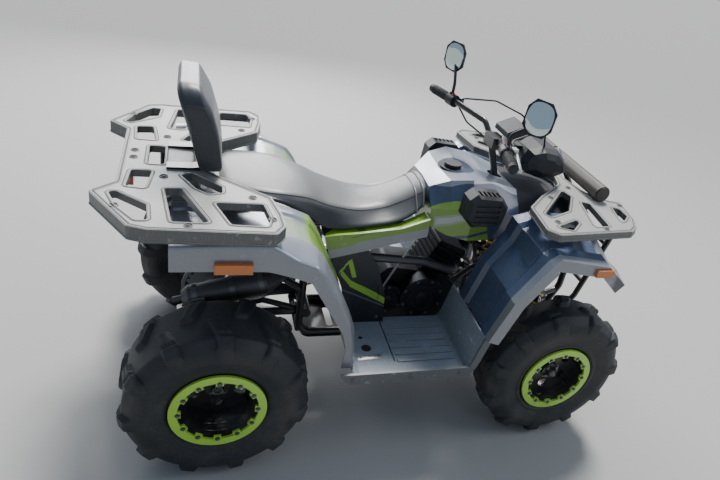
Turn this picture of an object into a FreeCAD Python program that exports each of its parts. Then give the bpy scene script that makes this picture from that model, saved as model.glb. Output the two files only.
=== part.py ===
import FreeCAD, Part
import math
import os

os.makedirs("parts", exist_ok=True)
V = FreeCAD.Vector

# Utility quad bike, millimetres.  +X forward, +Y left, +Z up, the ground at Z = 0 and
# X = 0 midway between the two axles.

WHEELBASE = 1180.0
FRONT_X = WHEELBASE / 2
REAR_X = -WHEELBASE / 2
# Stations along the body, drawn for a 1180 wheelbase, stretch with it.
STRETCH = WHEELBASE / 1180.0

# Rear wheels: 22x10-10 tyres, measured over the lugs.
REAR_R = 275.0
REAR_W = 250.0
REAR_Y = 410.0
REAR_BEAD = 100.0
# Front wheels: 23x7-10 tyres, measured over the lugs.
FRONT_R = 285.0
FRONT_W = 180.0
FRONT_Y = 430.0
FRONT_BEAD = 72.0
RIM_R = 127.0
RIM_FLANGE_R = 139.0
RING_INNER_R = 104.0
RING_TABS = 12
LUG_H = 13.0
REAR_PITCHES = 11
FRONT_PITCHES = 11

AXLE_R = 15.0
SPINDLE_R = 12.5
RUN_FIT = 0.05

# Steering: kingpins are upright, the column leans back.
KING_Y = 375.0
KING_R = 8.0
ARM_BACK = 70.0
ARM_OUT = 24.0
ROD_Z = FRONT_R + 33
COLUMN_LEAN = 20.4
CLAMP_Z = 985.0
GRIP_Z = 1056.0
LEAN = math.radians(COLUMN_LEAN)
COLUMN_UP = V(-math.sin(LEAN), 0, math.cos(LEAN))
# the column's axis runs through the centre of its lower arm
COLUMN_FOOT = V(FRONT_X - ARM_BACK + ARM_BACK * math.cos(LEAN), 0, ROD_Z - 2 + ARM_BACK * math.sin(LEAN))

# Chain drive
SPROCKET_Y = 130.0
SPROCKET_R = 96.0
DISC_Y = -105.0
DRIVE_R = 30.0
DRIVE_X = -30 * STRETCH
DRIVE_Z = 390.0

# Frame: lower and upper rails, shock towers and the swing arm's pivot.
TUBE_R = 14.0
RAIL_Y = 105.0
RAIL_Z = 228.0
TOP_RAIL_Z = 385.0
TOWER_X = FRONT_X + 12
GUARD_STAY_Y = 290.0
GUARD_STAY_Z = 784.0
PIVOT_X = -275 * STRETCH
PIVOT_Z = 300.0
SHOCK_EYE_R = 8.0
BOSS_DROP = 70.0
BOSS_H = 24.0

# Racks
REAR_RACK_TOP = 857.0
FRONT_RACK_TOP = 870.0
RACK_T = 22.0
RACK_WALL_T = 11.0
RACK_WALL_H = 40.0
FRONT_WALL_H = 26.0
TUBE_X = 745 * STRETCH
TUBE_BORE_R = 31.0
TUBE_HALF = 250.0
TUBE_MIDDLE_Y = 50.0

SHELL_T = 4.0
FLOOR_Z = 318.0
FLOOR_T = 8.0
PORT_X = 262 * STRETCH
PORT_Z = 520.0
CAN_Y = 232.0
LAMP_Z = 954.0
MIRROR_Z = 1200.0
MIRROR_T = 22.0

ALONG_X = V(1, 0, 0)
ALONG_Y = V(0, 1, 0)
# low eye, high eye, spring radius, coils
REAR_SHOCK = ((REAR_X + 53, 0, REAR_R + 68), (REAR_X + 160, 0, 697), 36, 8)
FRONT_SHOCK = ((FRONT_X, 268, FRONT_R - BOSS_DROP + 31), (TOWER_X, 172, 700), 28, 9)


def st(points):
    """Table rows with their first column, the station, stretched to the wheelbase."""
    return [(p[0] * STRETCH,) + tuple(p[1:]) for p in points]


# radius, bend radius, points of the left tube
FRAME_TUBES = (
    (14, 50, st([(-300, RAIL_Y, 700), (-300, RAIL_Y, RAIL_Z), (700, RAIL_Y, RAIL_Z), (790, 95, 420),
                 (790, 85, 770)])),
    (14, 60, st([(-790, 120, 735), (-300, 108, 700), (120, 92, 690), (420, 85, 790), (790, 85, 770)])),
    (12, 40, st([(300, RAIL_Y, RAIL_Z), (470, RAIL_Y, TOP_RAIL_Z), (720, RAIL_Y, TOP_RAIL_Z),
                 (785, 95, 400)])),
    (12, 40, st([(-300, RAIL_Y, 420), (-700, 118, 700)])),
    (12, 40, [(TOWER_X, RAIL_Y, TOP_RAIL_Z), (TOWER_X, RAIL_Y, FRONT_RACK_TOP - FRONT_WALL_H - 0.3)]),
    (11, 30, st([(150, RAIL_Y, RAIL_Z), (150, 118, FLOOR_Z - FLOOR_T - 11.3),
                 (150, 450, FLOOR_Z - FLOOR_T - 11.3)])),
    (11, 30, st([(-120, RAIL_Y, RAIL_Z), (-120, 118, FLOOR_Z - FLOOR_T - 11.3),
                 (-120, 450, FLOOR_Z - FLOOR_T - 11.3)])),
)
# station, height and half length of the cross tubes, and their radius
CROSS_TUBES = (
    (-300 * STRETCH, 240, RAIL_Y, 11),
    (-300 * STRETCH, 660, RAIL_Y, 11),
    (-20 * STRETCH, 250.7, RAIL_Y, 11),
    (220 * STRETCH, 250.7, RAIL_Y, 11),
    (700 * STRETCH, RAIL_Z, RAIL_Y, 11),
    (-760 * STRETCH, 733, 120, 11),
    (790 * STRETCH, 560, 92, 11),
    (TOWER_X, 700, 186, 11),
    (TOWER_X, GUARD_STAY_Z, GUARD_STAY_Y + 9, 9),
    (REAR_X + 160, 697, 110, 12),
)

# right-hand rear wing outline (x, |y|) and its openings
REAR_WING = (
    (-866, 0), (-866, 195), (-925, 257), (-820, 441), (-775, 458), (-458, 470), (-430, 425),
    (-433, 357), (-453, 255), (-484, 226), (-570, 150), (-628, 92), (-654, 50), (-654, 0))
REAR_OPENINGS = (
    ((-876, 261), (-860, 253), (-780, 327), (-774, 408), (-801, 409), (-852, 333)),
    ((-741, 228), (-697, 223), (-626, 415), (-718, 415)),
    ((-611, 301), (-480, 301), (-468, 383), (-480, 428), (-572, 422)),
    ((-832, 116), (-777, 115), (-790, 230), (-839, 221)),
    ((-700, 134), (-670, 118), (-588, 200), (-588, 238), (-625, 250), (-660, 216)),
)
REAR_CENTRE_OPENING = (-793, -747, 68)
FRONT_WING = (
    (702, 0), (722, 106), (752, 163), (800, 187), (844, 198), (816, 330), (784, 389), (744, 421),
    (430, 461), (394, 428), (414, 266), (506, 173), (640, 60), (660, 0))
FRONT_OPENINGS = (
    ((626, 117), (637, 167), (560, 285), (458, 337), (448, 312)),
    ((445, 404), (556, 349), (548, 375), (496, 425)),
    ((656, 209), (688, 220), (666, 387), (604, 396)),
    ((775, 241), (800, 253), (798, 308), (739, 364)),
)
# foot on the frame rail (x, y, z) and head under the rear rack (x, y)
RACK_POSTS = st([(-758, 119, 747.2), (-545, 114, 732.1)])
RACK_POSTS = [RACK_POSTS[0] + (-758 * STRETCH, 160), RACK_POSTS[1] + (-552 * STRETCH, 236)]

# offset across the mudguard as a share of its width, and depth of the surface there
GUARD_RELIEF = ((0.0, 0), (0.16, 0), (0.22, 13), (0.70, 13), (0.76, 0), (1.0, 0))
# side profiles (x, z) of the front mudguard beside the engine and at its outer edge
FRONT_GUARD_INNER = ((262, 470), (305, 640), (372, 745), (385, 806), (450, 826), (640, 822), (735, 786))
FRONT_GUARD_OUTER = ((262, 470), (316, 627), (372, 715), (413, 775), (440, 800), (640, 772), (730, 700))
FRONT_GUARD_Y = (216, 500)
# side profiles (x, z) of the rear mudguard beside the seat and at its outer edge
REAR_GUARD_INNER = (
    (-725, 794), (-600, 806), (-430, 813), (-412, 848), (-380, 864), (-305, 800), (-235, 640),
    (-190, 470), (-173, 345.3))
REAR_GUARD_OUTER = (
    (-725, 798), (-600, 807), (-430, 813), (-416, 817), (-388, 797), (-345, 745), (-270, 590),
    (-200, 440), (-173, 345.3))
REAR_GUARD_HEM = (
    (-725, 720), (-514, 717), (-420, 710), (-375, 660), (-310, 540), (-245, 415), (-222, 345.3))
REAR_GUARD_Y = (178, 446)

# side outline (x, z) of the silver strip under the seat and of the black panel below it
SIDE_STRIP = (
    (-262, 680), (-228, 687), (-148, 696), (0, 719), (96, 758), (98, 690), (30, 672), (-110, 630),
    (-236, 596))
# station, inner edge and height of the ledge that runs in from the strip under the seat
STRIP_LEDGE = ((-255, 150, 677), (-228, 126, 683), (-148, 126, 690), (0, 128, 713), (30, 122, 724),
               (96, 108, 752))
SIDE_PANEL = ((-232, 604), (-110, 640), (-60, 566), (-14, 440), (-2, 318.3), (-140, 318.3), (-178, 470))
SIDE_GROOVE = ((-196, 585), (-160, 592), (-44, 480), (-36, 420), (-130, 500), (-166, 548))

# station, top height, half width and height of shoulder, waist and hem
COWL = (
    (100, 850, 88, 844, 150, 787, 165, 728),
    (160, 880, 128, 888, 186, 805, 194, 708),
    (235, 887, 150, 904, 211, 812, 213, 697),
    (330, 882, 136, 894, 204, 808, 206, 700),
    (430, 858, 116, 864, 188, 795, 190, 722),
)
SIDE_POD = ((182, 806), (187, 876), (212, 899), (304, 894), (336, 856), (327, 796), (300, 779), (213, 776))

# station, half width and height of the hem, half width and height of the upper edge, crown height
SEAT = (
    (-590, 120, 815, 100, 842, 850),
    (-470, 172, 808, 150, 836, 847),
    (-400, 167, 783, 148, 824, 834),
    (-320, 158, 737, 128, 802, 813),
    (-250, 151, 692, 120, 775, 785),
    (-150, 150, 693, 104, 753, 762),
    (-50, 146, 708, 84, 757, 767),
    (0, 139, 717, 80, 776, 786),
    (50, 127, 740, 78, 801, 812),
    (99.7, 106, 775, 78, 832, 845),
)

# side profile of the handlebar lamp housing, from its centre
LAMP_HOUSING = (
    (-92, -30), (-100, 10), (-78, 50), (-20, 64), (52, 54), (92, 18), (104, -32), (60, -54), (-20, -60))


def box(x0, x1, y0, y1, z0, z1):
    return Part.makeBox(x1 - x0, y1 - y0, z1 - z0, V(x0, y0, z0))


def rod(a, b, radius):
    start = V(*a)
    run = V(*b) - start
    return Part.makeCylinder(radius, run.Length, start, run)


def tube_y(x, z, y0, y1, outer, inner=0.0):
    body = Part.makeCylinder(outer, y1 - y0, V(x, y0, z), V(0, 1, 0))
    if inner > 0:
        body = body.cut(Part.makeCylinder(inner, y1 - y0 + 2, V(x, y0 - 1, z), V(0, 1, 0)))
    return body


def mirrored(shape):
    return shape.mirror(V(0, 0, 0), V(0, 1, 0))


def both(shape):
    return Part.makeCompound([shape, mirrored(shape)])


def join(shapes):
    body = shapes[0]
    if len(shapes) > 1:
        body = shapes[0].multiFuse(shapes[1:])
    return body.removeSplitter()


def corner_wire(points, radius):
    """Closed wire through the points, each corner rounded by an arc."""
    pts = [V(*p) for p in points]
    edges = []
    ends = []
    count = len(pts)
    for i in range(count):
        here = pts[i]
        back = (pts[i - 1] - here)
        ahead = (pts[(i + 1) % count] - here)
        angle = back.getAngle(ahead)
        if angle > math.pi - 0.01:
            continue
        reach = radius / math.tan(angle / 2)
        reach = min(reach, 0.45 * back.Length, 0.45 * ahead.Length)
        r = reach * math.tan(angle / 2)
        back.normalize()
        ahead.normalize()
        start = here + back * reach
        end = here + ahead * reach
        bisector = back + ahead
        bisector.normalize()
        centre = here + bisector * (r / math.sin(angle / 2))
        out = here - centre
        out.normalize()
        ends.append((start, centre + out * r, end))
    for i in range(len(ends)):
        start, middle, end = ends[i]
        edges.append(Part.Arc(start, middle, end).toShape())
        following = ends[(i + 1) % len(ends)][0]
        if (following - end).Length > 0.01:
            edges.append(Part.makeLine(end, following))
    return Part.Wire(edges)


def plate(points, z0, z1, radius=0.0):
    """Flat plate with an outline of (x, y) points between two heights."""
    if radius > 0:
        wire = corner_wire([(x, y, z0) for x, y in points], radius)
    else:
        wire = Part.makePolygon([V(x, y, z0) for x, y in points + points[:1]])
    return Part.Face(wire).extrude(V(0, 0, z1 - z0))


def side_plate(points, y0, y1, radius=0.0):
    """Upright plate with an outline of (x, z) points between two offsets."""
    if radius > 0:
        wire = corner_wire([(x, y0, z) for x, z in points], radius)
    else:
        wire = Part.makePolygon([V(x, y0, z) for x, z in points + points[:1]])
    return Part.Face(wire).extrude(V(0, y1 - y0, 0))


def bent_tube(points, radius, bend):
    """Round tube along a path, each corner turned on a bend radius."""
    pts = [V(*p) for p in points]
    edges = []
    previous = pts[0]
    for i in range(1, len(pts) - 1):
        here = pts[i]
        back = pts[i - 1] - here
        ahead = pts[i + 1] - here
        angle = back.getAngle(ahead)
        reach = min(bend / math.tan(angle / 2), 0.45 * back.Length, 0.45 * ahead.Length)
        r = reach * math.tan(angle / 2)
        back.normalize()
        ahead.normalize()
        start = here + back * reach
        end = here + ahead * reach
        bisector = back + ahead
        bisector.normalize()
        centre = here + bisector * (r / math.sin(angle / 2))
        out = here - centre
        out.normalize()
        if (start - previous).Length > 0.01:
            edges.append(Part.makeLine(previous, start))
        edges.append(Part.Arc(start, centre + out * r, end).toShape())
        previous = end
    edges.append(Part.makeLine(previous, pts[-1]))
    path = Part.Wire(edges)
    ring = Part.Wire(Part.makeCircle(radius, pts[0], pts[1] - pts[0]))
    return path.makePipeShell([ring], True, False)


def ruled(sections):
    """Solid through closed sections, each a list of (x, y, z)."""
    wires = [Part.makePolygon([V(*p) for p in s + s[:1]]) for s in sections]
    return Part.makeLoft(wires, True, True)


def offset_line(points, distance):
    """Open (x, z) line moved to its right-hand side by a distance."""
    moved = []
    for i, (x, z) in enumerate(points):
        x0, z0 = points[max(i - 1, 0)]
        x1, z1 = points[min(i + 1, len(points) - 1)]
        dx = x1 - x0
        dz = z1 - z0
        length = math.hypot(dx, dz)
        moved.append((x + dz / length * distance, z - dx / length * distance))
    return moved


def sheet(lines, thickness):
    """Thin panel through open side profiles, each given as (y, [(x, z), ...])."""
    sections = []
    for y, line in lines:
        inner = offset_line(line, thickness)
        outline = line + inner[::-1]
        sections.append([(x, y, z) for x, z in outline])
    return ruled(sections)


def save(name, shape):
    shape.exportStep("parts/%s.step" % name)


# Wheels.
def tyre_profile(crown, width, bead_y):
    """Tyre section of (y, r) points from one bead to the other, under the lugs."""
    half = width / 2
    return [
        (-bead_y, RIM_R + 0.4),
        (-bead_y, RIM_FLANGE_R + 1),
        (-half, crown - 56),
        (-half + 9, crown - 26),
        (-half + 40, crown),
        (half - 40, crown),
        (half - 9, crown - 26),
        (half, crown - 56),
        (bead_y, RIM_FLANGE_R + 1),
        (bead_y, RIM_R + 0.4),
    ]


def revolved(points, centre):
    """Ring about the wheel axis from (y, r) points."""
    x, y, z = centre
    line = [V(x, y + py, z + r) for py, r in points]
    wire = Part.makePolygon(line + line[:1])
    return Part.Face(wire).revolve(V(x, y, z), V(0, 1, 0), 360)


def faceted_ring(profile, count):
    """Ring of flat facets: the (y, r) profile repeated at equal angles, r to the flats."""
    def corner(i, j):
        a = math.pi * (2 * i + 1) / count
        y, r = profile[j % len(profile)]
        reach = r / math.cos(math.pi / count)
        return V(reach * math.sin(a), y, reach * math.cos(a))

    faces = []
    for i in range(count):
        for j in range(len(profile)):
            loop = [corner(i, j), corner(i, j + 1), corner(i + 1, j + 1), corner(i + 1, j)]
            faces.append(Part.Face(Part.makePolygon(loop + loop[:1])))
    return Part.makeSolid(Part.makeShell(faces))


def tyre(radius, width, bead_y, pitches, centre):
    """Carcass with two staggered rows of angled lugs that turn over the shoulders."""
    half = width / 2
    crown = radius - LUG_H
    body = faceted_ring(tyre_profile(crown, width, bead_y), 2 * pitches)
    w = math.pi * radius / pitches * 0.3
    lead = w * 0.55
    knee = half - 42
    bar = [(-w - lead, 6), (w * 0.55 - lead, 6), (w + lead, knee), (-w + lead, knee)]
    bar = [V(x, y, crown - 6) for x, y in bar]
    bar = Part.Face(Part.makePolygon(bar + bar[:1])).extrude(V(0, 0, LUG_H + 6))
    shoulder = [(knee - 12, crown - 8), (knee - 12, radius), (knee + 4, radius),
                (half - 6, radius - 20), (half + 1, crown - 48), (half - 8, crown - 54)]
    shoulder = [V(lead - w, y, r) for y, r in shoulder]
    shoulder = Part.Face(Part.makePolygon(shoulder + shoulder[:1])).extrude(V(2 * w, 0, 0))
    lugs = []
    for i in range(2 * pitches):
        for piece in (bar, shoulder):
            lug = piece.copy()
            if i % 2:
                lug = lug.mirror(V(0, 0, 0), V(0, 1, 0))
            lug.rotate(V(0, 0, 0), V(0, 1, 0), 180.0 * i / pitches)
            lugs.append(lug)
    shape = body.multiFuse(lugs).removeSplitter()
    shape.translate(V(*centre))
    return shape


def rim(half_w, disc_y, bore_r, hub_r, centre, outer_side):
    """Pressed wheel: barrel, two flanges, a dished disc and its hub."""
    x, y, z = centre
    s = outer_side
    flange = RIM_FLANGE_R - 3
    barrel = [
        (-half_w, RIM_R - 9), (-half_w, flange), (-half_w + 5, flange),
        (-half_w + 5, RIM_R), (-20, RIM_R), (-14, RIM_R - 4), (14, RIM_R - 4), (20, RIM_R),
        (half_w - 5, RIM_R), (half_w - 5, flange), (half_w, flange), (half_w, RIM_R - 9),
    ]
    ring = revolved(barrel, centre)
    y0 = y + s * disc_y - 4
    disc = tube_y(x, z, y0, y0 + 8, RIM_R - 8, bore_r)
    hub = tube_y(x, z, y + s * disc_y - 22, y + s * disc_y + 22, hub_r, bore_r)
    windows = []
    for i in range(6):
        a = math.radians(30 + 60 * i)
        wx = x + math.cos(a) * (hub_r + RIM_R - 8) / 2
        wz = z + math.sin(a) * (hub_r + RIM_R - 8) / 2
        windows.append(tube_y(wx, wz, y0 - 2, y0 + 10, 18))
    return join([ring, disc.cut(Part.makeCompound(windows)), hub])


def bead_ring(half_w, centre, outer_side):
    """Bright clamp ring on the wheel's outer flange, with inward bolt tabs."""
    x, y, z = centre
    face = y + outer_side * (half_w + 0.2)
    y0 = min(face, face + outer_side * 9)
    ring = tube_y(x, z, y0, y0 + 9, RIM_FLANGE_R, RIM_R - 12)
    tabs = []
    for i in range(RING_TABS):
        a = 2 * math.pi * i / RING_TABS
        tab = box(-11, 11, y0, y0 + 9, RING_INNER_R, RIM_R - 6)
        tab.rotate(V(0, 0, 0), V(0, 1, 0), math.degrees(a))
        tab.translate(V(x, 0, z))
        tabs.append(tab)
    return join([ring] + tabs)


def wheels():
    for side, s in (("left", 1), ("right", -1)):
        centre = (FRONT_X, s * FRONT_Y, FRONT_R)
        half = FRONT_BEAD + 5.3
        save("front_tyre_" + side, tyre(FRONT_R, FRONT_W, FRONT_BEAD, FRONT_PITCHES, centre))
        save("front_rim_" + side, rim(half, 14, SPINDLE_R + RUN_FIT, 34, centre, s))
        save("front_bead_ring_" + side, bead_ring(half, centre, s))
    centre = (REAR_X, REAR_Y, REAR_R)
    half = REAR_BEAD + 5.3
    save("rear_tyres", both(tyre(REAR_R, REAR_W, REAR_BEAD, REAR_PITCHES, centre)))
    save("rear_rims", both(rim(half, -15, AXLE_R, 38, centre, 1)))
    save("rear_bead_rings", both(bead_ring(half, centre, 1)))


# Rear axle, its drive and the swing arm that carries it.
def rear_axle():
    shaft = tube_y(REAR_X, REAR_R, -REAR_Y - 25, REAR_Y + 25, AXLE_R)
    save("rear_axle", shaft)
    teeth = []
    count = 24
    for i in range(count):
        tooth = box(-5, 5, SPROCKET_Y - 3, SPROCKET_Y + 3, SPROCKET_R - 10, SPROCKET_R)
        tooth.rotate(V(0, 0, 0), V(0, 1, 0), 360.0 * i / count)
        tooth.translate(V(REAR_X, 0, REAR_R))
        teeth.append(tooth)
    wheel = tube_y(REAR_X, REAR_R, SPROCKET_Y - 3, SPROCKET_Y + 3, SPROCKET_R - 8, AXLE_R)
    hub = tube_y(REAR_X, REAR_R, SPROCKET_Y - 14, SPROCKET_Y + 14, 32, AXLE_R)
    save("sprocket", join([wheel, hub] + teeth))
    disc = tube_y(REAR_X, REAR_R, DISC_Y - 2.5, DISC_Y + 2.5, 90, AXLE_R)
    hub = tube_y(REAR_X, REAR_R, DISC_Y - 14, DISC_Y + 14, 32, AXLE_R)
    save("rear_brake_disc", join([disc, hub]))


def belt_face(a, ra, b, rb, y):
    """Face inside a belt laid round two circles, each given by its (x, z) centre."""
    length = math.hypot(b[0] - a[0], b[1] - a[1])
    base = math.atan2(b[1] - a[1], b[0] - a[0])
    off = math.acos((ra - rb) / length)

    def at(centre, radius, angle):
        return V(centre[0] + radius * math.cos(angle), y, centre[1] + radius * math.sin(angle))

    up_a = at(a, ra, base + off)
    up_b = at(b, rb, base + off)
    low_a = at(a, ra, base - off)
    low_b = at(b, rb, base - off)
    edges = [
        Part.makeLine(up_a, up_b),
        Part.Arc(up_b, at(b, rb, base), low_b).toShape(),
        Part.makeLine(low_b, low_a),
        Part.Arc(low_a, at(a, ra, base + math.pi), up_a).toShape(),
    ]
    return Part.Face(Part.Wire(edges))


def chain():
    """Drive chain laid round the engine's small sprocket and clear of the turning one."""
    a = (REAR_X, REAR_R)
    b = (DRIVE_X, DRIVE_Z)
    y0 = SPROCKET_Y - 6
    outer = belt_face(a, SPROCKET_R + 17, b, DRIVE_R + 12.3, y0)
    inner = belt_face(a, SPROCKET_R + 5.2, b, DRIVE_R + 0.3, y0)
    save("chain", outer.cut(inner).extrude(V(0, 12, 0)))


def swing_arm():
    carrier = tube_y(REAR_X, REAR_R, -75, 75, 38, AXLE_R + RUN_FIT)
    low_eye = REAR_SHOCK[0]
    ear = [(REAR_X - 10, REAR_R + 25), (REAR_X + 28, REAR_R + 10), (REAR_X + 70, REAR_R + 60),
           (REAR_X + 64, REAR_R + 83), (REAR_X + 40, REAR_R + 81)]
    arms = []
    for s in (1, -1):
        arms.append(rod((REAR_X + 25, s * 56, REAR_R + 10), (PIVOT_X, s * 66, PIVOT_Z), 17))
        brace = (REAR_X + 160, s * 61, REAR_R + 70)
        arms.append(rod((REAR_X + 10, s * 56, REAR_R + 25), brace, 11))
        arms.append(rod(brace, (PIVOT_X - 25, s * 66, PIVOT_Z + 5), 11))
        y0 = 15 if s > 0 else -21
        arms.append(side_plate(ear, y0, y0 + 6))
    pivot = tube_y(PIVOT_X, PIVOT_Z, -90.7, 90.7, 20)
    pin = tube_y(low_eye[0], low_eye[2], -21, 21, SHOCK_EYE_R)
    shape = join([carrier, pivot, pin] + arms)
    clear = tube_y(REAR_X, REAR_R, -120, 120, AXLE_R + RUN_FIT)
    save("swing_arm", shape.cut(clear))


def eye(centre, axis, outer, bore, width):
    start = V(*centre) - axis * (width / 2)
    ring = Part.makeCylinder(outer, width, start, axis)
    return ring.cut(Part.makeCylinder(bore, width + 2, start - axis, axis))


def shock(low, high, low_eye, high_eye, spring_r, coils):
    """Coil-over shock absorber; each eye is (axis, outer radius, bore, width)."""
    a = V(*low)
    b = V(*high)
    run = b - a
    length = run.Length
    run.normalize()
    foot = low_eye[1] - 3
    head = high_eye[1] - 3
    seat_low = foot + 18
    seat_high = length - head - 14
    pitch = (seat_high - seat_low - 12) / coils
    # (r, height) of the damper, its collars and the spring's outline
    line = [(0, foot), (11, foot), (11, seat_low), (spring_r, seat_low), (spring_r, seat_low + 6)]
    for i in range(coils):
        base = seat_low + 6 + i * pitch
        line.append((spring_r * 0.66, base + pitch * 0.1))
        line.append((spring_r * 0.94, base + pitch * 0.32))
        line.append((spring_r * 0.94, base + pitch * 0.68))
        line.append((spring_r * 0.66, base + pitch * 0.9))
    line += [(spring_r, seat_high - 6), (spring_r, seat_high), (spring_r * 0.4, seat_high),
             (spring_r * 0.4, length - head), (0, length - head)]
    wire = Part.makePolygon([V(r, 0, h) for r, h in line + line[:1]])
    body = Part.Face(wire).revolve(V(0, 0, 0), V(0, 0, 1), 360)
    body.Placement = FreeCAD.Placement(a, FreeCAD.Rotation(V(0, 0, 1), run))
    parts = []
    for centre, (axis, outer, bore, width) in ((low, low_eye), (high, high_eye)):
        parts.append(eye(centre, axis, outer, bore, width))
        body = body.cut(Part.makeCylinder(bore, 60, V(*centre) - axis * 30, axis))
    return join([body] + parts)


def shocks():
    low, high, r, coils = REAR_SHOCK
    foot = (ALONG_Y, 15, SHOCK_EYE_R + RUN_FIT, 24)
    rear = shock(low, high, foot, (ALONG_Y, 20, 12 + RUN_FIT, 24), r, coils)
    low, high, r, coils = FRONT_SHOCK
    foot = (ALONG_X, 13, 6 + RUN_FIT, 24)
    front = shock(low, high, foot, (ALONG_Y, 20, 11 + RUN_FIT, 24), r, coils)
    save("rear_shock", rear)
    save("front_shocks", both(front))


# Front suspension and steering.
def arms():
    pieces = []
    low_z = FRONT_R - BOSS_DROP
    # boss height, pivot height, pivot offset, half spread, tube radius
    rows = (
        (low_z, RAIL_Z, RAIL_Y + 14 + 16.3, 120, 11),
        (FRONT_R + BOSS_DROP, TOP_RAIL_Z, RAIL_Y + 12 + 14.3, 95, 9),
    )
    for boss_z, pivot_z, pivot_y, spread, r in rows:
        boss = Part.makeCylinder(16, BOSS_H, V(FRONT_X, KING_Y, boss_z - BOSS_H / 2))
        legs = [boss]
        for s in (1, -1):
            x = FRONT_X + s * spread
            legs.append(rod((FRONT_X, KING_Y, boss_z), (x, pivot_y, pivot_z), r))
            legs.append(rod((x - 22, pivot_y, pivot_z), (x + 22, pivot_y, pivot_z), r + 5))
        if boss_z == low_z:
            legs.append(box(FRONT_X - 60, FRONT_X + 60, 256, 280, low_z - 6, low_z + 10))
            for x in (FRONT_X - 19, FRONT_X + 12.5):
                legs.append(box(x, x + 6.5, 256, 280, low_z, low_z + 44))
            pin_z = FRONT_SHOCK[0][2]
            legs.append(rod((FRONT_X - 19, 268, pin_z), (FRONT_X + 19, 268, pin_z), 6))
        hole = V(FRONT_X, KING_Y, boss_z - BOSS_H * 1.5)
        pieces.append(join(legs).cut(Part.makeCylinder(KING_R + RUN_FIT, BOSS_H * 3, hole)))
    save("front_arms", Part.makeCompound(pieces + [mirrored(p) for p in pieces]))


def knuckle():
    z = FRONT_R
    reach = BOSS_DROP - BOSS_H / 2 - 4
    post = Part.makeCylinder(18, 2 * reach, V(FRONT_X, KING_Y, z - reach))
    reach = BOSS_DROP + 16
    pin = Part.makeCylinder(KING_R, 2 * reach, V(FRONT_X, KING_Y, z - reach))
    spindle = tube_y(FRONT_X, z, KING_Y, FRONT_Y + 48, SPINDLE_R)
    collar = tube_y(FRONT_X, z, KING_Y, FRONT_Y - 12, 24)
    end = (FRONT_X - ARM_BACK, KING_Y + ARM_OUT)
    arm = rod((FRONT_X, KING_Y, z + 14), (end[0], end[1], ROD_Z - 18), 9)
    foot = Part.makeCylinder(13, 16, V(end[0], end[1], ROD_Z - 25))
    ball = Part.makeCylinder(5, 36, V(end[0], end[1], ROD_Z - 22))
    return join([post, pin, spindle, collar, arm, foot, ball])


def tie_rod():
    """Track rod; its inner eye is wide, as its ball floats about the column's pin."""
    x = FRONT_X - ARM_BACK
    outer = KING_Y + ARM_OUT
    bar = rod((x, outer - 8, ROD_Z), (x, ARM_OUT + 15, ROD_Z), 6)
    outer_eye = eye((x, outer, ROD_Z), V(0, 0, 1), 11, 5 + RUN_FIT, 14)
    inner_eye = eye((x, ARM_OUT, ROD_Z), V(0, 0, 1), 18.5, 13, 14)
    return join([bar, outer_eye, inner_eye])


def column_point(height):
    return COLUMN_FOOT + COLUMN_UP * ((height - COLUMN_FOOT.z) / COLUMN_UP.z)


def steering():
    foot = COLUMN_FOOT
    top = column_point(CLAMP_Z)
    shaft = Part.makeCylinder(13, (top - foot).Length + 34, foot - COLUMN_UP * 34, COLUMN_UP)
    plate_arm = box(-ARM_BACK - 14, 12, -36, 36, -34, -26)
    plate_arm.rotate(V(0, 0, 0), V(0, 1, 0), -COLUMN_LEAN)
    plate_arm.translate(foot)
    pins = []
    for s in (1, -1):
        pins.append(Part.makeCylinder(4.5, 43, V(FRONT_X - ARM_BACK, s * ARM_OUT, ROD_Z - 31)))
    save("steering_column", join([shaft, plate_arm] + pins))
    x = top.x
    bar = [(x - 116, 385, GRIP_Z), (x - 71, 225, GRIP_Z), (x - 4, 90, GRIP_Z - 16),
           (x + 6, 45, GRIP_Z - 52)]
    bar += [(px, -y, z) for px, y, z in bar[::-1]]
    tube = bent_tube(bar, 11, 40)
    clamp = box(x - 18, x + 30, -40, 40, CLAMP_Z - 5, CLAMP_Z + 35)
    save("handlebar", join([tube, clamp.cut(tube)]).cut(shaft))
    return x


def controls(x, pod):
    """Grips, levers with their fluid tanks, and switch blocks with the hoses that leave them."""
    start = V(x - 71, 225, GRIP_Z)
    run = V(x - 116, 385, GRIP_Z) - start
    length = run.Length
    run.normalize()

    def sleeve(near, far, radius):
        body = Part.makeCylinder(radius, far - near, start + run * near, run)
        return body.cut(Part.makeCylinder(11, length, start + run * 8, run))

    grip = sleeve(54, length, 17)
    flange = sleeve(54, 58, 22)
    save("grips", both(join([grip, flange])))
    block = sleeve(14, 53, 24)
    tank = box(x - 66, x - 40, 236, 262, GRIP_Z - 18, GRIP_Z + 14)
    tank = tank.cut(Part.makeCylinder(24.3, length, start, run))
    tank_hose = [(x - 50, 250, GRIP_Z + 8), (x - 46, 212, GRIP_Z + 24), (x + 60, 165, GRIP_Z + 42),
                 (x + 150, 90, GRIP_Z + 20), (x + 190, 50, LAMP_Z + 50)]
    wire = [(x - 60, 250, GRIP_Z - 10), (x - 30, 190, GRIP_Z - 60), (x + 70, 90, LAMP_Z - 10),
            (x + 140, 50, LAMP_Z - 4)]
    hoses = [hose(path, pod, tank) for path in (tank_hose, wire)]
    save("switch_blocks", both(join([block.cut(tank)] + hoses)))
    lever = bent_tube([(x - 46, 240, GRIP_Z), (x - 44, 262, GRIP_Z - 2), (x - 88, 385, GRIP_Z - 8)], 6, 14)
    save("levers", both(join([tank, lever])))


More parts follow.
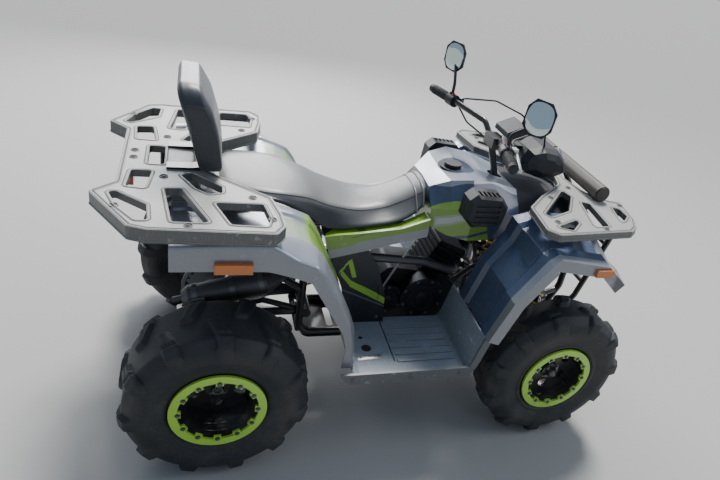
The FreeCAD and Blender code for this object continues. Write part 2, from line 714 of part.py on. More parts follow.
def headlight(x):
    """Lamp pod on the handlebar: tapered shell, recessed round lens and a stay."""
    zc = LAMP_Z
    sections = []
    # offset y and share of the full profile there
    for y, share in ((-104, 0.45), (-92, 0.78), (-62, 0.96), (62, 0.96), (92, 0.78), (104, 0.45)):
        row = [(x + 194 + dx * share, y, zc + dz * share) for dx, dz in LAMP_HOUSING]
        sections.append(row)
    body = ruled(sections)
    front = x + 194 + 92
    recess = Part.makeCylinder(46, 80, V(front - 34, 0, zc - 8), V(1, 0, 0))
    lens = Part.makeCylinder(45.7, 12, V(front - 33.7, 0, zc - 8), V(1, 0, 0))
    stay = box(x + 30.3, x + 130, -20, 20, CLAMP_Z - 1, CLAMP_Z + 11)
    post = box(x + 52, x + 72, -12, 12, CLAMP_Z + 8, CLAMP_Z + 48)
    dial = side_plate([(x + 20, CLAMP_Z + 44), (x + 24, CLAMP_Z + 66), (x + 92, CLAMP_Z + 98),
                       (x + 112, CLAMP_Z + 66), (x + 84, CLAMP_Z + 42)], -52, 52, 8)
    body = join([body, stay, post, dial]).cut(recess)
    save("headlight_pod", body)
    save("headlight_lens", lens)
    return body


def mirror_head(centre, facing):
    """Eight-sided mirror shell with a recess for its glass, turned to face a direction."""
    outline = ((-50, -24), (-30, -52), (22, -56), (50, -30), (50, 28), (28, 56), (-26, 56), (-50, 30))
    side = V(-facing.y, facing.x, 0)
    side.normalize()
    up = facing.cross(side)

    def section(share, depth):
        points = []
        for a, b in outline:
            point = V(*centre) + side * (a * share) + up * (b * share) + facing * depth
            points.append((point.x, point.y, point.z))
        return points

    shell = ruled([section(0.55, -MIRROR_T), section(0.94, -12), section(1, -4), section(1, 0)])
    return shell.cut(ruled([section(0.92, -2.5), section(0.92, 2)]))


def mirrors(x):
    """Both mirrors: the left looks back, the right is turned out towards the rider's side."""
    parts = []
    # side of the bike, place of the glass, direction that it faces
    for s, centre, facing in ((1, (x - 76, 340, MIRROR_Z), V(-0.90, -0.43, 0.05)),
                              (-1, (x - 46, 334, MIRROR_Z), V(-0.81, 0.56, 0.17))):
        facing.normalize()
        back = V(*centre) - facing * 14
        foot = (x - 83, 262, GRIP_Z + 24.3)
        stem = bent_tube([foot, (foot[0], 262, GRIP_Z + 62), (back.x, back.y, back.z - 12)], 6, 24)
        part = join([mirror_head(centre, facing), stem])
        parts.append(part if s > 0 else mirrored(part))
    save("mirrors", Part.makeCompound(parts))


def hose(points, pod, block):
    return bent_tube(points, 3.4, 40).cut(pod).cut(block)


# Frame.
def frame():
    parts = []
    for radius, bend, points in FRAME_TUBES:
        for s in (1, -1):
            parts.append(bent_tube([(x, s * y, z) for x, y, z in points], radius, bend))
    for x, z, half, radius in CROSS_TUBES:
        parts.append(rod((x, -half, z), (x, half, z), radius))
    for s in (1, -1):
        foot = (TOWER_X, s * GUARD_STAY_Y, GUARD_STAY_Z)
        parts.append(rod(foot, (TOWER_X, s * GUARD_STAY_Y, GUARD_STAY_Z + 17), 8))
    bores = []
    # column bearings: height, half length of the bar that carries each
    for height, half in ((788, 86), (TOP_RAIL_Z, RAIL_Y)):
        centre = column_point(height)
        parts.append(Part.makeCylinder(22, 30, centre - COLUMN_UP * 15, COLUMN_UP))
        parts.append(rod((centre.x, -half, height), (centre.x, half, height), 9))
        bores.append(Part.makeCylinder(13 + RUN_FIT, 90, centre - COLUMN_UP * 45, COLUMN_UP))
    shape = join(parts).cut(Part.makeCompound(bores))
    save("frame", shape)
    return shape


def skid_plate():
    z = RAIL_Z - 14.3
    outline = [(-285, -118), (520, -118), (520, 118), (-285, 118)]
    body = plate(st(outline), z - 4, z, 30)
    slots = [plate(st([(x, -60), (x + 26, -60), (x + 26, 60), (x, 60)]), z - 6, z + 2, 12)
             for x in (-180, -80, 20, 120, 220, 320, 420)]
    save("skid_plate", body.cut(Part.makeCompound(slots)))


def engine():
    case = side_plate([(-60, 262), (250, 262), (300, 330), (300, 420), (240, 470), (20, 500),
                       (-60, 430)], -82, 82, 25)
    cylinder = side_plate([(130, 440), (250, 400), (330, 560), (210, 610)], -62, 62, 12)
    fins = []
    for i in range(7):
        t = 36 + 20 * i
        x = 190 + 0.437 * t
        z = 420 + 0.9 * t
        fin = [(x - 68, z + 33), (x + 68, z - 33), (x + 70, z - 28), (x - 66, z + 38)]
        fins.append(side_plate(fin, -74, 74))
    fins = [fin.cut(tube_y(PORT_X, PORT_Z, -90, -62, 22)) for fin in fins]
    cover = tube_y(150, 398, -140, -82, 86)
    cover2 = tube_y(20, 380, -120, -82, 62)
    left = tube_y(110, 390, 82, 118, 78)
    drive = join([tube_y(DRIVE_X, DRIVE_Z, 60, SPROCKET_Y + 8, 12),
                  tube_y(DRIVE_X, DRIVE_Z, SPROCKET_Y - 4, SPROCKET_Y + 4, DRIVE_R)])
    save("engine", join([case, cylinder, cover, cover2, left, drive] + fins))


def exhaust():
    y = CAN_Y
    pipe = bent_tube(st([(PORT_X / STRETCH, -62.3, PORT_Z), (PORT_X / STRETCH, -142, PORT_Z),
                         (120, -142, 566), (-290, -142, 598), (-400, -y, 556), (-440, -y, 545)]), 16, 42)
    run = V(-300, 0, -79)
    run.normalize()
    start = V(-400 * STRETCH, -y, 556)
    neck = Part.makeCone(17, 40, 46, start, run)
    can = Part.makeCylinder(40, 236, start + run * 46, run)
    tail = Part.makeCone(40, 27, 20, start + run * 282, run)
    outlet = Part.makeCylinder(14, 50, start + run * 282, run)
    outlet = outlet.cut(Part.makeCylinder(11, 60, start + run * 290, run))
    tail = tail.cut(Part.makeCylinder(11, 60, start + run * 290, run))
    save("exhaust", join([pipe, neck, can, tail, outlet]))


# Racks, bumper and the tube on the front rack.
def rack(outline, openings, top, depth, centre=None):
    """Moulded rack: a flat plate with openings and a deeper wall round its edge."""
    left = st(outline)
    right = [(x, -y) for x, y in left[::-1] if y > 0]
    body = plate(left + right, top - RACK_T, top, 14)
    wire = corner_wire([(x, y, top - depth) for x, y in left + right], 14)
    face = Part.Face(wire)
    inner = face.makeOffset2D(-RACK_WALL_T)
    wall = face.cut(inner).extrude(V(0, 0, depth - 2))
    cuts = []
    for hole in openings:
        hole = st(hole)
        cuts.append(plate(hole, top - RACK_T - 1, top + 1, 9))
        cuts.append(plate([(x, -y) for x, y in hole], top - RACK_T - 1, top + 1, 9))
    if centre:
        x0, x1, y = centre
        hole = st([(x0, -y), (x1, -y), (x1, y), (x0, y)])
        cuts.append(plate(hole, top - RACK_T - 1, top + 1, 9))
    return join([body.cut(Part.makeCompound(cuts)), wall])


def racks(chassis):
    save("rear_rack", rack(REAR_WING, REAR_OPENINGS, REAR_RACK_TOP, RACK_WALL_H, REAR_CENTRE_OPENING))
    front = rack(FRONT_WING, FRONT_OPENINGS, FRONT_RACK_TOP, FRONT_WALL_H)
    save("front_rack", front)
    posts = []
    top = REAR_RACK_TOP - RACK_T - 0.3
    for x, y, z, tx, ty in RACK_POSTS:
        post = rod((x, y, z - 20), (tx, ty, REAR_RACK_TOP), 9)
        post = post.cut(box(x - 200, x + 200, 0, 300, top, top + 100))
        posts.append(post.cut(box(x - 200, x + 200, 0, 300, z - 100, z)))
    save("rack_posts", Part.makeCompound(posts + [mirrored(p) for p in posts]))
    head = FRONT_RACK_TOP - FRONT_WALL_H - 0.3
    bumper = bent_tube(st([(748, 98, 324), (884, 92, 330), (908.6, 110, 520), (908.6, 150, 700),
                           (812, 222, 870)]), 12.5, 50)
    bumper = bumper.cut(box(500, 1200, 0, 300, head, head + 300))
    bars = []
    for x, z, half in ((896, 440, 100), (908.6, 650, 138)):
        bars.append(rod((x * STRETCH, -half, z), (x * STRETCH, half, z), 11))
    shape = join([bumper, mirrored(bumper)] + bars)
    save("front_bumper", shape.cut(chassis))
    return front


def accessory_tube():
    """Plain capped tube lying across the wings of the front rack."""
    x = TUBE_X
    z = FRONT_RACK_TOP + TUBE_BORE_R + 0.3
    low = TUBE_MIDDLE_Y - TUBE_HALF
    high = TUBE_MIDDLE_Y + TUBE_HALF
    body = tube_y(x, z, low, high, TUBE_BORE_R)
    caps = [tube_y(x, z, y - 4, y + 4, TUBE_BORE_R - 4) for y in (low, high)]
    save("accessory_tube", join([body] + caps))


# Body panels.
def blend(inner, outer, share):
    """Side profile between two others, share 0 at the inner and 1 at the outer one."""
    return [(x0 + (x1 - x0) * share, z0 + (z1 - z0) * share) for (x0, z0), (x1, z1) in zip(inner, outer)]


def mudguard(inner_y, inner, outer_y, outer):
    """Pressed mudguard with a sunk channel between its inner ridge and its outer band."""
    lines = []
    for share, depth in GUARD_RELIEF:
        line = blend(inner, outer, share)
        lines.append((inner_y + (outer_y - inner_y) * share, offset_line(line, depth)))
    return sheet(lines, SHELL_T)


def front_fender():
    inner_y, outer_y = FRONT_GUARD_Y
    outline = st(FRONT_GUARD_OUTER)
    panel = mudguard(inner_y, st(FRONT_GUARD_INNER), outer_y, outline)
    lip = sheet([(outer_y - 8, outline), (outer_y, outline)], 44)
    foot = (TOWER_X, GUARD_STAY_Y, GUARD_STAY_Z)
    hole = rod(foot, (TOWER_X, GUARD_STAY_Y, GUARD_STAY_Z + 60), 8.3)
    bar = rod((TOWER_X, 200, GUARD_STAY_Z), (TOWER_X, GUARD_STAY_Y + 10, GUARD_STAY_Z), 9.3)
    save("front_fenders", both(join([panel, lip]).cut(hole).cut(bar)))


def rear_fender():
    inner_y, outer_y = REAR_GUARD_Y
    inner = st(REAR_GUARD_INNER)
    outer = st(REAR_GUARD_OUTER)
    panel = mudguard(inner_y, inner, outer_y, outer)
    lip = side_plate(outer + st(REAR_GUARD_HEM)[::-1], outer_y - 8, outer_y)
    side = join([panel, lip])
    deck = sheet([(-inner_y, inner[:2]), (inner_y, inner[:2])], SHELL_T)
    tail = side_plate(st([(-725, 794), (-725, 750), (-719, 750), (-719, 794)]), -outer_y + 8, outer_y - 8)
    body = join([side, mirrored(side), deck, tail])
    clear = []
    for x, y, z, tx, ty in RACK_POSTS:
        for s in (1, -1):
            clear.append(rod((x, s * y, z - 20), (tx, s * ty, REAR_RACK_TOP), 9.3))
    save("rear_fenders", body.cut(Part.makeCompound(clear)))


def side_covers():
    strip = side_plate(st(SIDE_STRIP), 166, 177.7)
    rows = [[(x, y, z), (x, 170, z), (x, 170, z - 3), (x, y, z - 3)] for x, y, z in st(STRIP_LEDGE)]
    strip = join([strip, ruled(rows)])
    panel = side_plate(st(SIDE_PANEL), 166, 176)
    groove = side_plate(st(SIDE_GROOVE), 172, 180)
    save("side_strips", both(strip))
    save("side_panels", both(panel.cut(strip).cut(groove)))


def cowl_section(row, inset):
    x, top, ws, zs, ww, zw, wh, zh = row
    left = [(ww - inset, zw), (ws - inset, zs - inset), (0, top - inset)]
    hem = [(wh - inset, zh - inset * 2)]
    half = hem + left
    other = [(-y, z) for y, z in half[:-1][::-1]]
    return [(x, y, z) for y, z in half + other]


def cowl():
    table = st(COWL)
    outer = ruled([cowl_section(r, 0) for r in table])
    first = list(table[0])
    last = list(table[-1])
    first[0] += SHELL_T
    last[0] += 5
    rows = [first] + list(table[1:-1]) + [last]
    inner = ruled([cowl_section(r, SHELL_T) for r in rows])
    hole = Part.makeCylinder(26, 300, column_point(800), COLUMN_UP)
    save("cowl", outer.cut(inner).cut(hole))
    x = 212 * STRETCH
    cap = join([Part.makeCylinder(46, 20, V(x, 0, 868)), Part.makeCylinder(32, 34, V(x, 0, 868))])
    save("fuel_cap", cap.cut(outer))
    sections = []
    # offset y and share of the full profile there
    for y, share in ((196, 1), (252, 1), (268, 0.86)):
        sections.append([(259 + (x - 259) * share, y, 837 + (z - 837) * share) for x, z in st(SIDE_POD)])
    slots = []
    for i in range(5):
        x = (221 + i * 17) * STRETCH
        slots.append(box(x, x + 9, 222, 254, 888, 910))
    for i in range(4):
        slots.append(box(210 * STRETCH, 300 * STRETCH, 264, 270, 800 + i * 20, 810 + i * 20))
    save("side_pods", both(ruled(sections).cut(outer).cut(Part.makeCompound(slots))))


def front_cover(front_rack):
    """Dark nose between the racks' front wings, with a grille and lamp openings."""
    rows = (
        # x, top height, half width and height of the edge, half width and height of the hem
        (430.3, 862, 112, 858, 180, 800, 186, 730),
        (540, 852, 112, 846, 196, 800, 196, 730),
        (700, 838, 90, 832, 190, 790, 186, 700),
        (770, 800, 80, 796, 160, 770, 156, 640),
    )
    outer = []
    inner = []
    for i, (x, top, w1, z1, w2, z2, w3, z3) in enumerate(st(rows)):
        half = [(w3, z3), (w2, z2), (w1, z1), (0, top)]
        outer.append([(x, y, z) for y, z in half + [(-y, z) for y, z in half[:-1][::-1]]])
        xi = x - 5 if i == 0 else x - 4
        half = [(w3 - 4, z3 - 20), (w2 - 4, z2), (w1 - 2, z1 - 4), (0, top - 4)]
        inner.append([(xi, y, z) for y, z in half + [(-y, z) for y, z in half[:-1][::-1]]])
    body = ruled(outer).cut(ruled(inner))
    clear = [rod((TOWER_X, s * RAIL_Y, 600), (TOWER_X, s * RAIL_Y, 950), 12.3) for s in (1, -1)]
    for s in (1, -1):
        rail = st([(420, s * 85, 790), (790, s * 85, 770)])
        clear.append(rod(rail[0], rail[1], 14.3))
    clear.append(Part.makeCylinder(26, 300, column_point(700), COLUMN_UP))
    clear.append(rod((TOWER_X, -400, GUARD_STAY_Z), (TOWER_X, 400, GUARD_STAY_Z), 9.3))
    for s in (1, -1):
        clear.append(box(600, 900, s * 100 - 42, s * 100 + 42, 716, 770))
    for i in range(4):
        clear.append(box(600, 900, -44, 44, 664 + i * 24, 676 + i * 24))
    body = body.cut(Part.makeCompound(clear))
    save("front_cover", body.cut(rack(FRONT_WING, (), FRONT_RACK_TOP, FRONT_WALL_H)))


def seat(chassis):
    sections = []
    for x, w, hem, edge, high, crown in st(SEAT):
        half = [(w - 8, hem), (w, hem + 9), (edge + 5, high - 8), (edge - 16, high + 3), (0, crown)]
        other = [(-y, z) for y, z in half[:-1][::-1]]
        sections.append([(x, y, z) for y, z in half + other])
    save("seat", ruled(sections).cut(chassis))
    foot = REAR_RACK_TOP + 0.3
    base = foot + 14.4
    strap = [(-740, foot), (-740, foot + 7), (-668, foot + 9), (-642, base), (-600, base),
             (-600, base - 6), (-640, base - 8), (-654, foot)]
    save("backrest_bracket", Part.makeCompound([side_plate(st(strap), y - 20, y + 20) for y in (-80, 80)]))
    side = [(-581, base + 0.3), (-652, base + 0.3), (-674, 970), (-698, 1052), (-713, 1108),
            (-703, 1127), (-650, 1123), (-619, 1064), (-595, 984)]
    save("backrest", side_plate(st(side), -155, 155, 20))


def footwells():
    """Floor pan with a heel wall, a toe board, ribs and a round hole."""
    line = st([(-176, 342.6), (-150, FLOOR_Z), (232, FLOOR_Z), (261, 465.4)])
    pan = sheet([(150, line), (462, line)], FLOOR_T)
    side = line + offset_line(line, FLOOR_T + 8)[::-1]
    wall = side_plate(side, 462, 470)
    ribs = []
    for i in range(7):
        y = 176 + 36 * i
        ribs.append(box(-4 * STRETCH, 214 * STRETCH, y, y + 12, FLOOR_Z - 2, FLOOR_Z + 4))
    heel = (-92 * STRETCH, FLOOR_Z)
    hole = Part.makeCylinder(18, 40, V(heel[0], 267, heel[1] - 20))
    pan = join([pan, wall] + ribs).cut(hole)
    save("footwells", both(pan))
    band = [(-222, 342.6), (-206, 316), (-186, 302), (240, 302), (262, 345), (290, 465.4),
            (261, 465.4), (234, 342.6)]
    save("step_trims", both(side_plate(st(band), 470.3, 480)))


def lamps():
    x = REAR_X + 27
    signal = box(x - 50, x + 50, 446.3, 460, 722, 752)
    save("rear_signals", both(signal))
    x = FRONT_X + 30
    save("front_signals", both(box(x - 34, x + 34, 500.3, 511, 738, 764)))
    x = -832 * STRETCH
    save("tail_lamp", box(x - 18, x, -60, 60, 780, REAR_RACK_TOP - RACK_T - 0.3))


def tow_hitch():
    x = REAR_X
    z = REAR_R - 5
    outline = [(x - 10, -40), (x - 50, -40), (x - 125, -22), (x - 125, 22), (x - 50, 40), (x - 10, 40)]
    bar = plate(outline, z, z + 10, 10)
    bar = bar.cut(tube_y(x, REAR_R, -60, 60, 38.3))
    save("tow_hitch", bar.cut(Part.makeCylinder(10, 60, V(x - 100, 0, z - 20))))


def main():
    wheels()
    rear_axle()
    chain()
    swing_arm()
    shocks()
    arms()
    save("knuckle_left", knuckle())
    save("knuckle_right", mirrored(knuckle()))
    save("tie_rod_left", tie_rod())
    save("tie_rod_right", mirrored(tie_rod()))
    clamp_x = steering()
    pod = headlight(clamp_x)
    controls(clamp_x, pod)
    mirrors(clamp_x)
    chassis = frame()
    skid_plate()
    engine()
    exhaust()
    front_rack = racks(chassis)
    accessory_tube()
    front_fender()
    rear_fender()
    side_covers()
    cowl()
    front_cover(front_rack)
    seat(chassis)
    footwells()
    lamps()
    tow_hitch()


main()
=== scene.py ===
"""Utility quad bike: finishes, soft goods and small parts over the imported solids."""
import math

import bpy
from mathutils import Matrix, Vector


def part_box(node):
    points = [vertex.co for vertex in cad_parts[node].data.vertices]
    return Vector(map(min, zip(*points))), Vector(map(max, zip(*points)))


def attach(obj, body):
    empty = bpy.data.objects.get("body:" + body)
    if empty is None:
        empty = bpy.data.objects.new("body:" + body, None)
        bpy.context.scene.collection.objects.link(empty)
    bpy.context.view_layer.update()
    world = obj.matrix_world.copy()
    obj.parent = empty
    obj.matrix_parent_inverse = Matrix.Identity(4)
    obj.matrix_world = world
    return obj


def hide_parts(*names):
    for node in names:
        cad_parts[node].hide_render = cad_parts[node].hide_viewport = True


bl_info = {
    "name": "Utility Quad Bike",
    "version": (1, 0, 0),
    "blender": (4, 5, 0),
    "location": "View3D > Sidebar > Quad Bike",
    "description": "Builds the finishes, seat, springs, tyres and small parts of a utility quad bike",
    "category": "Object",
}

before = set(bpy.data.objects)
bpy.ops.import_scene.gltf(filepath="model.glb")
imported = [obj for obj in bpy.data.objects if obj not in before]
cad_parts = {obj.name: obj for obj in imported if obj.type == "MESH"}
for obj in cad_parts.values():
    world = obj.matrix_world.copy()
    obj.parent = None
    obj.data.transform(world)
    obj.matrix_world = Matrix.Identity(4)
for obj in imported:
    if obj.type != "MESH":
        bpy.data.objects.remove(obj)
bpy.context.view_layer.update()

# middle of the left wheels; each stands on the floor, so its height is its radius
FRONT_WHEEL = (0.59, 0.43, 0.285)
REAR_WHEEL = (-0.59, 0.41, 0.275)
REAR_RACK_TOP = 0.857
FRONT_RACK_TOP = 0.87
SIDES = (("left", 1), ("right", -1))
ALONG_X = (1, 0, 0)
ALONG_Y = (0, 1, 0)
UP = (0, 0, 1)
DUST = (0.17, 0.155, 0.135, 1.0)

# every material of the bike, by name
finishes = {}


# ---- settings ----
def colour_setting(name, description, value):
    return bpy.props.FloatVectorProperty(
        name=name, description=description, default=value, size=3, min=0.0, max=1.0, subtype="COLOR")


def length_setting(name, description, value):
    return bpy.props.FloatProperty(
        name=name, description=description, default=value, min=0.0, subtype="DISTANCE", unit="LENGTH")


class QuadColours(bpy.types.PropertyGroup):
    """Colours of the quad bike's finishes."""
    silver: colour_setting("Silver", "Painted body panels", (0.36, 0.39, 0.45))
    lime: colour_setting("Lime", "Body stripes and wheel clamp rings", (0.26, 0.46, 0.045))
    pale: colour_setting("Pale stripe", "White flashes beside the lime stripes", (0.62, 0.66, 0.68))
    rack: colour_setting("Rack", "Moulded load racks", (0.32, 0.32, 0.31))
    moulded: colour_setting("Black plastic", "Unpainted mouldings", (0.013, 0.016, 0.024))
    # worn grey-blue plastic, made paler and bluer than it is as painted light from the sky
    floor_pan_painted_sky_light: colour_setting("Floor pan", "Worn plastic of the foot wells", (0.25, 0.29, 0.35))
    tube: colour_setting("Front tube", "Round tube on the front rack", (0.07, 0.062, 0.055))
    rubber: colour_setting("Rubber", "Tyres", (0.02, 0.023, 0.028))
    vinyl: colour_setting("Vinyl", "Seat and backrest cover", (0.022, 0.026, 0.036))
    piping: colour_setting("Piping", "Welt at the front of the seat", (0.2, 0.2, 0.21))
    front_spring: colour_setting("Front springs", "Coils of the front shock absorbers", (0.75, 0.5, 0.04))
    rear_spring: colour_setting("Rear spring", "Coil of the rear shock absorber", (0.72, 0.72, 0.7))


class QuadSizes(bpy.types.PropertyGroup):
    """Sizes of the pieces that are put over the solids."""
    welt: length_setting("Welt radius", "Radius of the seat's piping", 0.0032)
    bead: length_setting("Rack bead radius", "Radius of the raised beads on the racks", 0.0024)
    front_wire: length_setting("Front spring wire", "Radius of the front coils' wire", 0.0048)
    rear_wire: length_setting("Rear spring wire", "Radius of the rear coil's wire", 0.0062)
    bolt: length_setting("Ring bolt", "Half the width of the clamp rings' bolt heads", 0.0052)
    sipe: length_setting("Lug groove", "Depth of the groove across each lug", 0.0025)


def colours():
    return bpy.context.scene.quad_colours


def sizes():
    return bpy.context.scene.quad_sizes


# ---- shapes ----
class Shape:
    """Vertices and faces of one piece while it is put together."""

    def __init__(self):
        self.verts = []
        self.faces = []
        self.finish = []

    def add(self, verts, faces, finish=0):
        start = len(self.verts)
        self.verts.extend(verts)
        self.faces.extend(tuple(start + i for i in face) for face in faces)
        self.finish.extend([finish] * len(faces))

    def rows(self, rows, closed=False, looped=False, capped=False, finish=0):
        """Skin over rows of points: closed joins each row's ends, looped joins the last row to the first."""
        count = len(rows[0])
        faces = []
        for i in range(len(rows) if looped else len(rows) - 1):
            a = i * count
            b = (i + 1) % len(rows) * count
            for j in range(count if closed else count - 1):
                k = (j + 1) % count
                faces.append((a + j, a + k, b + k, b + j))
        if capped:
            faces.append(tuple(range(count))[::-1])
            faces.append(tuple((len(rows) - 1) * count + j for j in range(count)))
        self.add([p for row in rows for p in row], faces, finish)

    def mirrored(self):
        """Adds the other side's copy."""
        finish = list(self.finish)
        self.add([(p[0], -p[1], p[2]) for p in self.verts], [face[::-1] for face in self.faces])
        self.finish[len(finish):] = finish

    def piece(self, name, body, looks, crease=40.0):
        """Object with these finishes that rides on a body; folds sharper than crease degrees stay sharp."""
        mesh = bpy.data.meshes.new(name)
        mesh.from_pydata([tuple(p) for p in self.verts], [], self.faces)
        mesh.polygons.foreach_set("material_index", self.finish)
        mesh.validate()
        mesh.shade_smooth()
        mesh.set_sharp_from_angle(angle=math.radians(crease))
        for look in looks:
            mesh.materials.append(finishes[look])
        obj = bpy.data.objects.new(name, mesh)
        bpy.context.scene.collection.objects.link(obj)
        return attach(obj, body)


def frame_of(axis):
    """Two directions square to an axis."""
    axis = Vector(axis).normalized()
    side = Vector((0, 0, 1)) if abs(axis.z) < 0.9 else Vector((1, 0, 0))
    u = axis.cross(side).normalized()
    return u, axis.cross(u).normalized()


def circle(centre, u, v, radius, sides):
    """Points round a centre, in the plane of two directions."""
    turns = [math.tau * i / sides for i in range(sides)]
    return [centre + u * (radius * math.cos(a)) + v * (radius * math.sin(a)) for a in turns]


def upright(centre, radius, turn):
    """Point on an upright circle that faces sideways."""
    x, y, z = centre
    return Vector((x + radius * math.cos(turn), y, z + radius * math.sin(turn)))


def lathe(shape, centre, axis, profile, sides, finish, capped=True):
    """Turned piece from (distance along the axis, radius) rows."""
    axis = Vector(axis).normalized()
    u, v = frame_of(axis)
    rows = [circle(Vector(centre) + axis * d, u, v, r, sides) for d, r in profile]
    shape.rows(rows, closed=True, capped=capped, finish=finish)


def sweep(shape, path, radius, sides, looped=False, finish=0):
    """Round bead or wire along a path, carried without twisting."""
    path = [Vector(p) for p in path]
    count = len(path)
    rows = []
    normal = None
    for i, here in enumerate(path):
        ahead = path[(i + 1) % count] if looped or i < count - 1 else here
        back = path[i - 1] if looped or i > 0 else here
        run = (ahead - back).normalized()
        if normal is None:
            normal = frame_of(run)[0]
        normal = (normal - run * normal.dot(run)).normalized()
        rows.append(circle(here, normal, run.cross(normal), radius, sides))
    shape.rows(rows, closed=True, looped=looped, capped=not looped, finish=finish)


def hex_head(shape, foot, axis, half, height, finish):
    """Six-sided bolt head with a washer, standing on its foot point."""
    lathe(shape, foot, axis, [(0, half * 1.5), (height * 0.25, half * 1.5)], 16, finish)
    rows = [(height * 0.2, half), (height * 0.85, half), (height, half * 0.82)]
    lathe(shape, foot, axis, rows, 6, finish)


def softened(points, passes):
    """Closed line with its corners cut a few times."""
    points = [Vector(p) for p in points]
    for _ in range(passes):
        cut = []
        for a, b in zip(points, points[1:] + points[:1]):
            cut += [a * 0.75 + b * 0.25, a * 0.25 + b * 0.75]
        points = cut
    return points


def bend(a, here, b, places):
    """Points from a to b on the curve that bends towards a corner."""
    return [a * (1 - t) ** 2 + here * (2 * t * (1 - t)) + b * t * t for t in places]


def inset(points, distance):
    """Flat (x, y) outline moved inwards by a distance; it runs anticlockwise."""
    moved = []
    for i, point in enumerate(points):
        here = Vector(point)
        back = (here - Vector(points[i - 1])).normalized()
        ahead = (Vector(points[(i + 1) % len(points)]) - here).normalized()
        n1 = Vector((-back.y, back.x))
        n2 = Vector((-ahead.y, ahead.x))
        # a sharp corner moves no further than this share of the square-on way allows
        share = max(1.0 + n1.dot(n2), 0.35)
        moved.append(here + (n1 + n2) * (distance / share))
    return moved


def fillet(points, radius):
    """Flat outline with each corner turned on an arc."""
    out = []
    for i, point in enumerate(points):
        here = Vector(point)
        back = Vector(points[i - 1]) - here
        ahead = Vector(points[(i + 1) % len(points)]) - here
        angle = back.angle(ahead)
        if angle > math.pi - 0.02:
            out.append(here)
            continue
        reach = min(radius / math.tan(angle / 2), 0.45 * back.length, 0.45 * ahead.length)
        a = here + back.normalized() * reach
        b = here + ahead.normalized() * reach
        out += bend(a, here, b, (0.0, 0.25, 0.5, 0.75, 1.0))
    return out


def smooth_table(rows, count):
    """Rows of numbers read at even steps of their first column, eased between rows."""
    first = rows[0][0]
    last = rows[-1][0]
    out = []
    for i in range(count):
        x = first + (last - first) * i / (count - 1)
        k = 0
        while k < len(rows) - 2 and x > rows[k + 1][0]:
            k += 1
        a = rows[k]
        b = rows[k + 1]
        before = rows[k - 1] if k else a
        after = rows[k + 2] if k + 2 < len(rows) else b
        span = b[0] - a[0]
        t = (x - a[0]) / span
        values = [x]
        for c in range(1, len(a)):
            rise_a = (b[c] - before[c]) / (b[0] - before[0]) * span
            rise_b = (after[c] - a[c]) / (after[0] - a[0]) * span
            value = (2 * t ** 3 - 3 * t * t + 1) * a[c] + (t ** 3 - 2 * t * t + t) * rise_a
            value += (-2 * t ** 3 + 3 * t * t) * b[c] + (t ** 3 - t * t) * rise_b
            values.append(value)
        out.append(values)
    return out


def smoothstep(low, high, value):
    t = min(max((value - low) / (high - low), 0.0), 1.0)
    return t * t * (3 - 2 * t)


# ---- shader nodes ----
class Nodes:
    """Adds and joins the nodes of one tree."""

    def __init__(self, tree):
        self.tree = tree

    def node(self, kind, values=(), **settings):
        made = self.tree.nodes.new(kind)
        for key, value in settings.items():
            setattr(made, key, value)
        for key, value in dict(values).items():
            self.feed(made.inputs[key], value)
        return made

    def feed(self, socket, value):
        if isinstance(value, bpy.types.NodeSocket):
            self.tree.links.new(value, socket)
        else:
            socket.default_value = value

    def math(self, operation, a, b=0.0, c=0.0, clamp=False):
        made = self.node("ShaderNodeMath", {0: a, 1: b, 2: c}, operation=operation, use_clamp=clamp)
        return made.outputs[0]

    def times(self, a, b, clamp=False):
        return self.math("MULTIPLY", a, b, clamp=clamp)

    def plus(self, a, b):
        return self.math("ADD", a, b)

    def minus(self, a, b):
        return self.math("SUBTRACT", a, b)

    def larger(self, a, b):
        return self.math("MAXIMUM", a, b)

    def positive(self, a):
        return self.math("ABSOLUTE", a)

    def mix(self, share, a, b, blend="MIX"):
        made = self.node("ShaderNodeMix", {0: share, 6: a, 7: b}, data_type="RGBA", blend_type=blend)
        return made.outputs[2]

    def span(self, value, low, high, to_low=0.0, to_high=1.0, ease="SMOOTHSTEP"):
        made = self.node("ShaderNodeMapRange", {0: value, 1: low, 2: high, 3: to_low, 4: to_high},
                         interpolation_type=ease)
        return made.outputs[0]

    def edge(self, value):
        """1 where a distance in metres is above zero and 0 below, with a thin soft line between."""
        return self.span(value, -0.0006, 0.0006, ease="LINEAR")

    def noise(self, vector, scale, detail=3.0):
        values = {"Vector": vector, "Scale": scale, "Detail": detail, "Roughness": 0.55}
        return self.node("ShaderNodeTexNoise", values).outputs["Fac"]

    def place(self):
        """Position on the part, and its X, Y and Z."""
        point = self.node("ShaderNodeTexCoord").outputs["Object"]
        split = self.node("ShaderNodeSeparateXYZ", {0: point})
        return point, *split.outputs

    def group(self, name, **values):
        """Places an effect and gives its one output."""
        made = self.tree.nodes.new("ShaderNodeGroup")
        made.node_tree = bpy.data.node_groups[name]
        for key, value in values.items():
            self.feed(made.inputs[key.replace("_", " ")], value)
        return made.outputs[0]


def make_group(name, output, **inputs):
    """New shader node group with number inputs and one number output."""
    tree = bpy.data.node_groups.new(name, "ShaderNodeTree")
    for title, value in inputs.items():
        socket = tree.interface.new_socket(name=title.replace("_", " "), in_out="INPUT",
                                           socket_type="NodeSocketFloat")
        socket.default_value = value
    tree.interface.new_socket(name=output, in_out="OUTPUT", socket_type="NodeSocketFloat")
    source = tree.nodes.new("NodeGroupInput")
    sink = tree.nodes.new("NodeGroupOutput")
    return Nodes(tree), source.outputs, sink.inputs[output]


